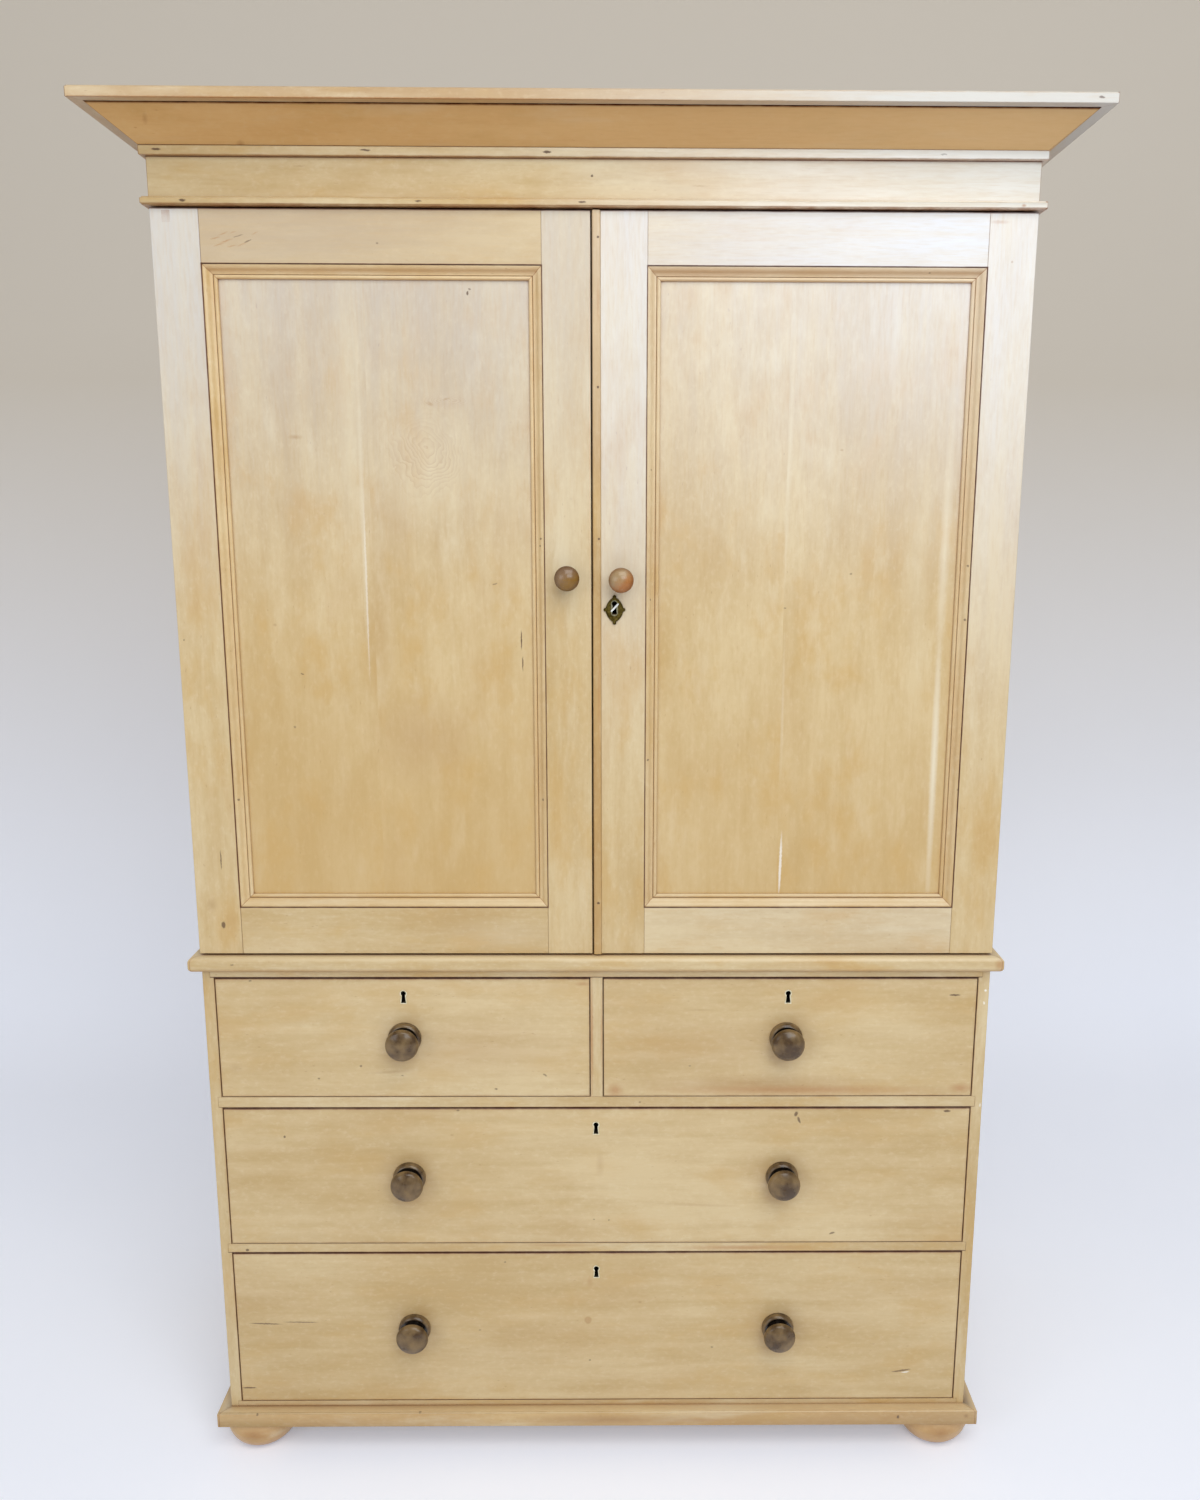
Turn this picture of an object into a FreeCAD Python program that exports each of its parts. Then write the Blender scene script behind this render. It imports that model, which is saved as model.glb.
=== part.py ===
import FreeCAD, Part
import math
import os
import Sketcher

# A pine linen press in millimetres: a chest of two short and two long drawers on turned feet, a cupboard
# with a pair of panelled doors above it, and a raked cornice on top.
# The origin is on the floor, midway between the press's outermost faces. +Z is up, +X is to the right of
# someone who faces the doors, and the doors and drawers face -Y.

# ---------------------------------------------------------------------------------------------- sizes
# One row is a spreadsheet alias, its value and what it measures.
SIZES = [
    ("case_width", 1200, "outer width of the chest, the cupboard and the frieze"),
    ("chest_depth", 560, "drawer faces to the back of the chest"),
    ("door_step", 3, "door faces ahead of the drawer faces"),
    ("side_thick", 17.5, "sides of chest and cupboard"),
    ("housing", 6, "depth of the housings that take rails, boards and shelves"),
    ("back_thick", 10, "back boards"),
    ("back_let_in", 9, "width of the rebate for the back boards"),
    ("back_joint", 0.6, "gap between two back boards"),
    ("foot_height", 51, "floor to the underside of the base moulding"),
    ("foot_radius", 58, "widest turn of a foot"),
    ("foot_pad", 36, "radius of a foot where it stands"),
    ("foot_top", 54, "radius of a foot under the chest"),
    ("foot_spigot", 17, "radius of the spigot above a foot"),
    ("foot_inset", 40, "foot centre in from the side and the front of the chest"),
    ("foot_back_inset", 60, "back foot centre in from the back"),
    ("base_height", 25, "base moulding"),
    ("base_reach", 18, "base moulding in front of the drawer faces"),
    ("bottom_thick", 18, "chest bottom, cupboard floor, cupboard top and shelves"),
    ("bottom_top", 84.5, "height of the chest bottom's upper face"),
    ("rail_depth", 70, "drawer rails, front to back"),
    ("lower_rail_level", 353, "underside of the rail between the long drawers"),
    ("lower_rail_thick", 15.5, "rail between the long drawers"),
    ("upper_rail_level", 602.5, "underside of the rail under the short drawers"),
    ("upper_rail_thick", 17.5, "rail under the short drawers"),
    ("top_rail_level", 816, "underside of the chest's top rail"),
    ("top_rail_thick", 13, "top rail"),
    ("divider_thick", 19, "upright between the short drawers"),
    ("divider_shift", -1.5, "middle of that upright from the centre line"),
    ("runner_width", 24, "drawer runners at the sides"),
    ("centre_runner", 96, "runner behind the upright"),
    ("guide_height", 24, "guide between the short drawers"),
    ("stop_length", 60, "drawer stops, side to side"),
    ("stop_width", 30, "drawer stops, front to back"),
    ("stop_height", 6, "drawer stops"),
    ("stop_play", 0.3, "drawer front to its stops"),
    ("waist_thick", 24, "board between chest and cupboard"),
    ("waist_reach", 15.5, "waist board in front of the drawer faces"),
    ("waist_round", 8, "rounding of the waist board's edges"),
    ("drawer_gap", 1.4, "gap round a drawer front"),
    ("drawer_thick", 20, "drawer fronts"),
    ("drawer_lining", 11, "drawer sides and backs"),
    ("drawer_bottom", 7, "drawer bottoms"),
    ("drawer_length", 515, "drawers, face to back"),
    ("drawer_slack", 0.8, "drawer side to its opening"),
    ("drawer_headroom", 12, "drawer side below the top of its opening"),
    ("drawer_lift", 0.4, "drawer side above its runner"),
    ("bottom_raise", 9, "drawer bottom above the lower edge of the drawer side"),
    ("bottom_groove", 5, "groove for the drawer bottom"),
    ("tail_length", 13, "dovetails into the drawer front"),
    ("tail_flare", 3, "flare of a dovetail on each side"),
    ("drawer_knob_x", 293.3, "drawer knobs out from the line between them"),
    ("drawer_knob_shift", -2.9, "that line from the centre line"),
    ("drawer_knob_reach", 38.5, "drawer face to the crown of a knob"),
    ("drawer_knob_radius", 25.4, "drawer knob's mushroom"),
    ("drawer_knob_rose", 25.7, "drawer knob's base"),
    ("spigot_radius", 7, "spigot of a knob"),
    ("spigot_length", 16, "spigot of a knob"),
    ("spigot_fit", 0.05, "clearance round a knob's spigot"),
    ("keyhole_shift", -2.8, "long drawers' keyholes from the centre line"),
    ("short_keyhole_drop", 25.6, "keyhole below the top of a short drawer's opening"),
    ("long_keyhole_drop", 29.7, "keyhole below the top of a long drawer's opening"),
    ("keyhole_round", 3.9, "radius of a keyhole's upper end"),
    ("keyhole_slot", 2.4, "half width of a keyhole's slot"),
    ("keyhole_splay", 1.2, "foot of a keyhole wider than its slot on each side"),
    ("keyhole_height", 19.4, "keyhole, top to bottom"),
    ("rim_width", 1.6, "brass rim of a drawer keyhole"),
    ("rim_depth", 4, "brass rim into the drawer front"),
    ("lock_width", 58, "drawer lock case"),
    ("lock_height", 50, "drawer lock case"),
    ("lock_depth", 9, "drawer lock case"),
    ("bolt_width", 22, "drawer lock bolt"),
    ("bolt_height", 19, "drawer lock bolt"),
    ("bolt_thick", 4.6, "lock bolts"),
    ("bolt_throw", 8, "travel of a drawer lock bolt"),
    ("bolt_fit", 0.2, "clearance round a lock bolt"),
    ("mortise_room", 1, "room round a thrown bolt in its mortise"),
    ("socket_room", 0.8, "room round the left door's bolt in the cupboard top"),
    ("door_bottom", 856, "height of the doors' lower edge"),
    ("door_top", 1911.5, "height of the doors' upper edge"),
    ("door_thick", 22, "doors"),
    ("door_play", 1, "door back to the front edge of the cupboard"),
    ("door_gap", 2, "gap between the doors"),
    ("meeting_x", -6.2, "middle of that gap from the centre line"),
    ("hinge_stile", 65.2, "hinge stiles"),
    ("left_meeting_stile", 66.5, "meeting stile of the left door"),
    ("right_meeting_stile", 76, "meeting stile of the right door, with its bead"),
    ("door_top_rail", 70.5, "top rail of a door"),
    ("door_bottom_rail", 72.7, "bottom rail of a door"),
    ("tenon_length", 48, "tenons of the door rails"),
    ("tenon_shoulder", 14, "tenon in from the edge of its rail"),
    ("panel_setback", 11, "panel face behind the frame's face"),
    ("panel_thick", 8, "door panels"),
    ("panel_groove", 9, "groove for the panel"),
    ("panel_play", 1, "room for the panel to move in its groove"),
    ("moulding_width", 18.5, "panel moulding"),
    ("moulding_height", 9.5, "panel moulding at the frame"),
    ("bead_width", 12, "bead on the right door's meeting edge"),
    ("bead_rebate", 8, "rebate under that bead"),
    ("bead_proud", 2, "bead in front of the door face"),
    ("bead_overhang", 1, "bead below the door"),
    ("door_knob_level", 1419.8, "left door knob above the floor"),
    ("right_knob_drop", 2.2, "right door knob below the left one"),
    ("door_knob_left", 34.9, "left door knob from the meeting gap"),
    ("door_knob_right", 41.5, "right door knob from the meeting gap"),
    ("door_knob_reach", 38, "door face to the crown of a knob"),
    ("door_knob_radius", 17.5, "door knobs"),
    ("plate_x", 32, "escutcheon's middle from the meeting gap"),
    ("plate_level", 1374.5, "escutcheon's middle above the floor"),
    ("plate_height", 37, "escutcheon plate without its finials"),
    ("plate_width", 26, "escutcheon plate without its finials"),
    ("plate_thick", 1.6, "escutcheon plate"),
    ("plate_keyhole_rise", 8.5, "round end of the keyhole above the middle of the escutcheon"),
    ("finial_radius", 2.6, "finials round the escutcheon"),
    ("rim_lock_height", 58, "door lock case"),
    ("rim_lock_width", 50, "door lock case"),
    ("rim_bolt_height", 16, "door lock bolt"),
    ("rim_bolt_length", 25, "door lock bolt"),
    ("rim_bolt_throw", 11, "travel of the door lock bolt"),
    ("slide_bolt_radius", 3.5, "rod of the left door's bolt"),
    ("slide_bolt_stand", 3, "that rod from its plate"),
    ("slide_bolt_length", 150, "rod of the left door's bolt"),
    ("slide_bolt_throw", 13, "travel of the left door's bolt"),
    ("slide_bolt_drop", 3, "top of that rod below the cupboard top at rest"),
    ("slide_plate_width", 26, "plate of the left door's bolt"),
    ("slide_plate_length", 120, "plate of the left door's bolt"),
    ("slide_plate_thick", 2, "plate of the left door's bolt"),
    ("hinge_length", 64, "butt hinges"),
    ("hinge_inset", 130, "hinge ends in from the ends of the door"),
    ("leaf_width", 15, "hinge leaves"),
    ("leaf_thick", 2, "hinge leaves"),
    ("knuckle_radius", 3.4, "hinge knuckles"),
    ("pin_radius", 1.6, "hinge pins"),
    ("pin_out", 1.2, "middle of a hinge pin out from the side of the cupboard"),
    ("pin_fit", 0.05, "clearance round a hinge pin"),
    ("knuckle_room", 0.5, "room round a knuckle in the wood"),
    ("knuckle_gap", 0.3, "gap between two knuckles"),
    ("shelf_setback", 30, "shelves behind the front edge of the cupboard"),
    ("batten_width", 20, "shelf battens"),
    ("batten_height", 24, "shelf battens"),
    ("cornice_gap", 2, "gap over the doors"),
    ("frieze_thick", 26, "frieze boards"),
    ("cornice_height", 113, "cornice under its cap"),
    ("necking_height", 10.5, "moulding at the foot of the frieze"),
    ("necking_reach", 8.8, "that moulding in front of the frieze"),
    ("fillet_rise", 62.5, "underside of the fillet above the foot of the frieze"),
    ("fillet_height", 11.5, "fillet over the frieze"),
    ("fillet_reach", 7.2, "fillet in front of the frieze"),
    ("rake_foot", 6, "lower edge of the raked board in front of the frieze"),
    ("rake_top", 55, "upper edge of the raked board in front of the frieze"),
    ("rake_thick", 20, "raked board, measured level"),
    ("cap_reach", 71, "cap in front of the frieze"),
    ("cap_thick", 13.5, "cap"),
    ("cap_width", 150, "boards of the cap, front to back"),
]
SHELF_LEVELS = (1130, 1385, 1640)
BACK_BOARDS = 7
DOVETAILS = {"short": 4, "long": 5}
KNUCKLES = 5


class Dim:
    """A size: its value in millimetres and the spreadsheet expression that gives it."""

    def __init__(self, value, text):
        self.value = value
        self.text = text

    @staticmethod
    def of(size):
        return size if isinstance(size, Dim) else Dim(float(size), "(%r)" % float(size))

    def joined(self, other, sign, value):
        return Dim(value, "(%s %s %s)" % (self.text, sign, other.text))

    def __add__(self, other):
        other = Dim.of(other)
        return self.joined(other, "+", self.value + other.value)

    def __sub__(self, other):
        other = Dim.of(other)
        return self.joined(other, "-", self.value - other.value)

    def __mul__(self, other):
        other = Dim.of(other)
        return self.joined(other, "*", self.value * other.value)

    def __truediv__(self, other):
        other = Dim.of(other)
        return self.joined(other, "/", self.value / other.value)

    def __radd__(self, other):
        return Dim.of(other) + self

    def __rsub__(self, other):
        return Dim.of(other) - self

    def __rmul__(self, other):
        return Dim.of(other) * self

    def __neg__(self):
        return Dim.of(0) - self


class Sheet:
    """The spreadsheet of driving sizes. Each alias is also an attribute that holds its Dim."""

    def __init__(self, document, rows):
        sheet = document.addObject("Spreadsheet::Sheet", "Sizes")
        for row, (alias, value, meaning) in enumerate(rows, start=1):
            sheet.set("A%d" % row, alias)
            sheet.set("B%d" % row, str(value))
            sheet.set("C%d" % row, meaning)
            sheet.setAlias("B%d" % row, alias)
            setattr(self, alias, Dim(float(value), "Sizes." + alias))


doc = FreeCAD.newDocument("linen_press")
size = Sheet(doc, SIZES)
doc.recompute()
nodes = []


# --------------------------------------------------------------------------------------- construction
def bind(item, prop, dim):
    item.setExpression(prop, Dim.of(dim).text)


def place(item, at, rotation=None):
    """Puts an object's own origin at a point. The rotation comes first."""
    if rotation is not None:
        item.Placement = FreeCAD.Placement(FreeCAD.Vector(), rotation)
    for axis, dim in zip("xyz", at):
        bind(item, "Placement.Base." + axis, dim)
    return item


def turned(x, y, z, degrees):
    return FreeCAD.Rotation(FreeCAD.Vector(x, y, z), degrees)


FACING_FRONT = turned(1, 0, 0, 90)  # local +Z points to -Y, local +Y points up


def board(name, low, high):
    """A box between its lowest and highest corners."""
    box = doc.addObject("Part::Box", name)
    for prop, start, end in zip(("Length", "Width", "Height"), low, high):
        bind(box, prop, Dim.of(end) - start)
    return place(box, low)


def rod(name, at, radius, length, rotation=None):
    """A cylinder that starts at a point and runs along its own +Z."""
    cylinder = doc.addObject("Part::Cylinder", name)
    bind(cylinder, "Radius", radius)
    bind(cylinder, "Height", length)
    return place(cylinder, at, rotation)


def group(name, pieces):
    compound = doc.addObject("Part::Compound", name)
    compound.Links = pieces
    return compound


def fuse(name, pieces):
    joined = doc.addObject("Part::MultiFuse", name)
    joined.Shapes = pieces
    return joined


def cut(name, base, tools):
    result = doc.addObject("Part::Cut", name)
    result.Base = base
    result.Tool = tools[0] if len(tools) == 1 else group(name + "_tools", tools)
    return result


def node(name, item):
    """Names a finished sub-part, which is written to its own file."""
    item.Label = name
    nodes.append(item)
    return item


def arc_between(start, end, radius):
    """The minor arc between two points. A positive radius turns left, a negative one turns right."""
    chord = end - start
    height = math.sqrt(max(radius * radius - chord.Length ** 2 / 4, 0))
    across = FreeCAD.Vector(-chord.y, chord.x, 0).normalize() * math.copysign(height, radius)
    centre = (start + end) * 0.5 + across
    first, last = (start, end) if radius > 0 else (end, start)
    angles = [math.atan2(point.y - centre.y, point.x - centre.x) for point in (first, last)]
    if angles[1] < angles[0]:
        angles[1] += 2 * math.pi
    circle = Part.Circle(centre, FreeCAD.Vector(0, 0, 1), abs(radius))
    return Part.ArcOfCircle(circle, *angles)


def sketch(body, role, outlines, name):
    """Closed outlines on one of a body's origin planes, with every corner bound to the spreadsheet.

    A corner is (across, up), or (across, up, radius) where an arc leads to it."""
    drawing = body.newObject("Sketcher::SketchObject", name)
    plane = [item for item in body.Origin.OriginFeatures if item.Role == role][0]
    drawing.AttachmentSupport = [(plane, "")]
    drawing.MapMode = "FlatFace"

    def constrain(kind, *arguments, dim=None):
        if dim is None:
            drawing.addConstraint(Sketcher.Constraint(kind, *arguments))
            return
        number = drawing.addConstraint(Sketcher.Constraint(kind, *arguments, dim.value))
        drawing.setExpression("Constraints[%d]" % number, dim.text)

    for corners in outlines:
        points = [FreeCAD.Vector(Dim.of(corner[0]).value, Dim.of(corner[1]).value, 0) for corner in corners]
        ends = []
        for index, corner in enumerate(corners):
            start, end = points[index - 1], points[index]
            if len(corner) == 2:
                edge = drawing.addGeometry(Part.LineSegment(start, end))
                ends.append((edge, 1, 2))
            else:
                radius = Dim.of(corner[2])
                edge = drawing.addGeometry(arc_between(start, end, radius.value))
                ends.append((edge, 1, 2) if radius.value > 0 else (edge, 2, 1))
        for index, corner in enumerate(corners):
            edge, first, last = ends[index]
            following = ends[(index + 1) % len(ends)]
            constrain("Coincident", edge, last, following[0], following[1])
            constrain("DistanceX", -1, 1, edge, last, dim=Dim.of(corner[0]))
            constrain("DistanceY", -1, 1, edge, last, dim=Dim.of(corner[1]))
            if len(corner) == 3:
                radius = Dim.of(corner[2])
                constrain("Radius", edge, dim=radius if radius.value > 0 else -radius)
    return drawing


def padded(name, role, corners, length, back=False):
    """A body whose outline is drawn on an origin plane and padded along that plane's normal."""
    body = doc.addObject("PartDesign::Body", name)
    pad = body.newObject("PartDesign::Pad", name + "_pad")
    pad.Profile = sketch(body, role, [corners], name + "_outline")
    bind(pad, "Length", length)
    pad.Reversed = back
    body.Tip = pad
    return body


def revolved(name, corners):
    """A turned body. Its profile, (radius, height), goes round the local Z axis."""
    body = doc.addObject("PartDesign::Body", name)
    turning = body.newObject("PartDesign::Revolution", name + "_turning")
    profile = sketch(body, "XZ_Plane", [corners], name + "_profile")
    turning.Profile = profile
    turning.ReferenceAxis = (profile, ["V_Axis"])
    turning.Angle = 360
    body.Tip = turning
    return body


def pocketed(body, role, outlines, name):
    """Cuts closed outlines right through a body, both ways from an origin plane."""
    pocket = body.newObject("PartDesign::Pocket", name)
    pocket.Profile = sketch(body, role, outlines, name + "_outline")
    pocket.Type = "ThroughAll"
    pocket.Midplane = True
    body.Tip = pocket
    return body


# ------------------------------------------------------------------------------------- shared measures
half_width = size.case_width / 2
chest_front = size.cap_reach - (size.cap_reach + size.door_step + size.chest_depth) / 2 + size.door_step
back = chest_front + size.chest_depth
back_boards_front = back - size.back_thick
door_front = chest_front - size.door_step
door_back = door_front + size.door_thick
cupboard_front = door_back + size.door_play
inner_half = half_width - size.side_thick
housed_half = inner_half + size.housing
chest_top = size.top_rail_level + size.top_rail_thick
cupboard_bottom = chest_top + size.waist_thick
cornice_bottom = size.door_top + size.cornice_gap
cornice_top = cornice_bottom + size.cornice_height
rail_back = chest_front + size.rail_depth

LEFT, RIGHT = -1, 1
SIDE_NAMES = {LEFT: "left", RIGHT: "right"}


def across(side, inner, outer):
    """The lower and upper X of a stretch that lies on one side of the centre line."""
    return (-outer, -inner) if side == LEFT else (inner, outer)


def side_board(name, side, low_y, low_z, high_z, housed):
    """A carcase side with housings for the pieces that are let into it."""
    low_x, high_x = across(side, inner_half, half_width)
    plain = board(name + "_board", (low_x, low_y, low_z), (high_x, back, high_z))
    return cut(name, plain, housed)


def back_panel(name, low_z, high_z):
    """Upright back boards side by side."""
    reach = inner_half + size.back_let_in
    pitch = 2 * reach / BACK_BOARDS
    boards = []
    for number in range(BACK_BOARDS):
        start = -reach + pitch * number
        end = start + pitch - size.back_joint
        boards.append(board("%s_%d" % (name, number + 1), (start, back_boards_front, low_z),
                            (end, back, high_z)))
    return group(name, boards)


def rebate_for_back(name, low_z, high_z):
    reach = inner_half + size.back_let_in
    return board(name, (-reach, back_boards_front, low_z), (reach, back, high_z))


# ------------------------------------------------------------------------------------------ mitred runs
MITRE_REACH = 700
DIAGONAL = math.sqrt(0.5)


def mitre_block(name, side, corner_y, keeps_front):
    """A block that cuts a run off at 45 degrees at a front corner of the case.

    It removes the return's part, or the front's part, of the corner."""
    angle = -45 if side == RIGHT else 225
    removed = 1 if keeps_front else -1
    shift = 0 if removed * side > 0 else -1
    along = (side * DIAGONAL, -DIAGONAL)
    sideways = (DIAGONAL, side * DIAGONAL)
    base_x = half_width * side - MITRE_REACH * along[0] + MITRE_REACH * shift * sideways[0]
    base_y = corner_y - MITRE_REACH * along[1] + MITRE_REACH * shift * sideways[1]
    block = doc.addObject("Part::Box", name)
    block.Length = 2 * MITRE_REACH
    block.Width = MITRE_REACH
    block.Height = 3 * MITRE_REACH
    return place(block, (base_x, base_y, 0), turned(0, 0, 1, angle))


def mitred_run(name, profile, reach, face_y, level):
    """A moulding along the front of the case and back along both sides, mitred at the front corners.

    The profile is (out from the case, up), and its origin is where the run meets the case."""
    front_body = padded(name + "_front_length", "YZ_Plane", [(-corner[0], *corner[1:]) for corner in profile],
                        size.case_width + 2 * reach)
    place(front_body, (-half_width - reach, face_y, level))
    blocks = [mitre_block("%s_%s_end" % (name, SIDE_NAMES[side]), side, face_y, True)
              for side in (LEFT, RIGHT)]
    pieces = [cut(name + "_front", front_body, blocks)]
    for side in (LEFT, RIGHT):
        outline = [(side * corner[0], *corner[1:]) for corner in profile]
        piece = "%s_%s" % (name, SIDE_NAMES[side])
        length = padded(piece + "_length", "XZ_Plane", outline, back - face_y + reach, back=True)
        place(length, (half_width * side, face_y - reach, level))
        pieces.append(cut(piece, length, [mitre_block(piece + "_end", side, face_y, False)]))
    return group(name, pieces)


# ------------------------------------------------------------------------------------------------ chest
def bun_foot(name, at):
    """A squat turned foot with a spigot that reaches up to the chest bottom."""
    spigot_top = size.bottom_top - size.bottom_thick
    profile = [
        (0, 0),
        (size.foot_pad, 0),
        (size.foot_radius, size.foot_height * 0.62, size.foot_height * 0.82),
        (size.foot_top, size.foot_height - 3, size.foot_height * 0.6),
        (size.foot_top, size.foot_height),
        (size.foot_spigot, size.foot_height),
        (size.foot_spigot, spigot_top),
        (0, spigot_top),
    ]
    return place(revolved(name, profile), at)


def make_feet():
    foot_x = half_width - size.foot_inset
    front_y = chest_front + size.foot_inset - 1
    back_y = back - size.foot_back_inset
    places = {"front_left": (-foot_x, front_y, 0), "front_right": (foot_x, front_y, 0),
              "back_left": (-foot_x, back_y, 0), "back_right": (foot_x, back_y, 0)}
    node("bun_feet", group("bun_feet", [bun_foot("foot_" + corner, at) for corner, at in places.items()]))


def make_base_moulding():
    profile = [
        (0, 0),
        (size.base_reach, 0),
        (size.base_reach, size.base_height - 2),
        (size.base_reach - 2, size.base_height, 2),
        (0, size.base_height),
    ]
    node("base_moulding", mitred_run("base_moulding", profile, size.base_reach, chest_front,
                                     size.foot_height))


def rail(name, level, thick):
    return board(name, (-housed_half, chest_front, level), (housed_half, rail_back, level + thick))


def make_chest(mortises):
    """The chest carcase. Each rail has mortises for the lock bolts of the drawers below it."""
    bottom = board("chest_bottom", (-housed_half, chest_front, size.bottom_top - size.bottom_thick),
                   (housed_half, back_boards_front, size.bottom_top))
    plain_rails = {
        "lower": rail("lower_rail_board", size.lower_rail_level, size.lower_rail_thick),
        "upper": rail("upper_rail_board", size.upper_rail_level, size.upper_rail_thick),
        "top": rail("top_rail_board", size.top_rail_level, size.top_rail_thick),
    }
    rebate = rebate_for_back("chest_rebate", size.foot_height, chest_top)
    housed = [bottom, rebate] + list(plain_rails.values())
    for side in (LEFT, RIGHT):
        name = "chest_side_" + SIDE_NAMES[side]
        node(name, side_board(name, side, chest_front, size.foot_height, chest_top, housed))
    node("chest_bottom", bottom)
    rails = [cut(name + "_rail", plain, mortises[name]) for name, plain in plain_rails.items()]
    node("drawer_rails", group("drawer_rails", rails))

    short_floor = size.upper_rail_level + size.upper_rail_thick
    middle = size.divider_shift
    half = size.divider_thick / 2
    node("drawer_divider", board("drawer_divider", (middle - half, chest_front, short_floor),
                                 (middle + half, rail_back, size.top_rail_level)))

    runners = []
    levels = {"lower": (size.lower_rail_level, size.lower_rail_thick),
              "upper": (size.upper_rail_level, size.upper_rail_thick),
              "top": (size.top_rail_level, size.top_rail_thick)}
    for name, (level, thick) in levels.items():
        for side in (LEFT, RIGHT):
            low_x, high_x = across(side, inner_half - size.runner_width, inner_half)
            runners.append(board("%s_%s_runner" % (name, SIDE_NAMES[side]), (low_x, rail_back, level),
                                 (high_x, back_boards_front, level + thick)))
        if name != "lower":
            runners.append(board(name + "_centre_runner",
                                 (middle - size.centre_runner / 2, rail_back, level),
                                 (middle + size.centre_runner / 2, back_boards_front, level + thick)))
    runners.append(board("centre_guide", (middle - half, rail_back, short_floor),
                         (middle + half, back_boards_front, short_floor + size.guide_height)))
    stop_front = chest_front + size.drawer_thick + size.stop_play
    stop_places = {"bottom": size.bottom_top, "lower": size.lower_rail_level + size.lower_rail_thick,
                   "upper": short_floor}
    for name, floor in stop_places.items():
        for number, share in enumerate((-0.75, -0.25, 0.25, 0.75), start=1):
            middle_x = inner_half * share
            runners.append(board("%s_stop_%d" % (name, number),
                                 (middle_x - size.stop_length / 2, stop_front, floor),
                                 (middle_x + size.stop_length / 2, stop_front + size.stop_width,
                                  floor + size.stop_height)))
    node("drawer_runners", group("drawer_runners", runners))
    node("chest_back", back_panel("chest_back", size.foot_height, chest_top))


def make_waist():
    """A board with its front and side edges rounded over. Its back edge is square."""
    plan = [
        (-half_width - size.waist_reach, chest_front - size.waist_reach),
        (half_width + size.waist_reach, chest_front - size.waist_reach),
        (half_width + size.waist_reach, back),
        (-half_width - size.waist_reach, back),
    ]
    body = padded("waist_board", "XY_Plane", plan, size.waist_thick)
    place(body, (0, 0, chest_top))
    doc.recompute()
    pad = body.Tip
    names = []
    for number, edge in enumerate(pad.Shape.Edges, start=1):
        box = edge.BoundBox
        if box.ZLength < 0.01 and box.YMin < back.value - 1:
            names.append("Edge%d" % number)
    rounding = body.newObject("PartDesign::Fillet", "waist_rounding")
    rounding.Base = (pad, names)
    bind(rounding, "Radius", size.waist_round)
    body.Tip = rounding
    node("waist_board", body)


# ---------------------------------------------------------------------------------------------- drawers
def keyhole_outline(round_radius, slot_half, splay, height):
    """A keyhole about the middle of its round end: round on top, with a slot that splays downwards."""
    foot = slot_half + splay
    bottom = -(height - round_radius)
    join = Dim.of(round_radius) * 0.79
    return [
        (-foot, bottom),
        (foot, bottom),
        (slot_half, -join),
        (round_radius, 0, Dim.of(round_radius) * 1.02),
        (0, round_radius, round_radius),
        (-round_radius, 0, round_radius),
        (-slot_half, -join, Dim.of(round_radius) * 1.02),
    ]


def keyhole_cutter(name, at, outline, depth):
    """A prism of a keyhole's outline that runs back from a face towards +Y."""
    body = padded(name, "XY_Plane", outline, depth, back=True)
    return place(body, at, FACING_FRONT)


def knob(name, at, radius, rose, reach, neck):
    """A turned knob on the -Y side of a face: spigot, dished rose, neck and a domed mushroom."""
    rose_top = reach * 0.25
    rose_rim = rose * 0.83
    widest = reach * 0.675
    crown_radius = radius * 0.86
    crown_height = reach * 0.15
    dome = (crown_radius * crown_radius + crown_height * crown_height) / (crown_height * 2)
    profile = [
        (0, -size.spigot_length),
        (size.spigot_radius, -size.spigot_length),
        (size.spigot_radius, 0),
        (rose, 0),
        (rose, rose_top * 0.42),
        (rose_rim, rose_top, rose * 0.27),
        ((rose_rim + neck) / 2, rose_top * 0.7),
        (neck, rose_top * 0.62),
        (neck, reach * 0.44),
        (radius * 0.82, reach * 0.54, -reach * 0.5),
        (radius, widest, radius * 0.33),
        (crown_radius, reach - crown_height, radius * 0.34),
        (0, reach, dome),
    ]
    return place(revolved(name, profile), at, FACING_FRONT)


def spigot_hole(name, at):
    start = (at[0], at[1] + size.spigot_length, at[2])
    return rod(name, start, size.spigot_radius + size.spigot_fit, size.spigot_length, FACING_FRONT)


def drawer_side(name, low_x, floor, height, tails):
    """A drawer side whose front end is cut into dovetails."""
    back_y = size.drawer_length - size.drawer_thick
    pitch = height / tails
    outline = [(back_y, 0), (back_y, height), (0, height)]
    for number in reversed(range(tails)):
        low = pitch * (number + 0.22)
        high = pitch * (number + 0.78)
        outline += [
            (0, high),
            (-size.tail_length, high + size.tail_flare),
            (-size.tail_length, low - size.tail_flare),
            (0, low),
        ]
    outline.append((0, 0))
    body = padded(name, "YZ_Plane", outline, size.drawer_lining)
    return place(body, (low_x, chest_front + size.drawer_thick, floor))


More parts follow.
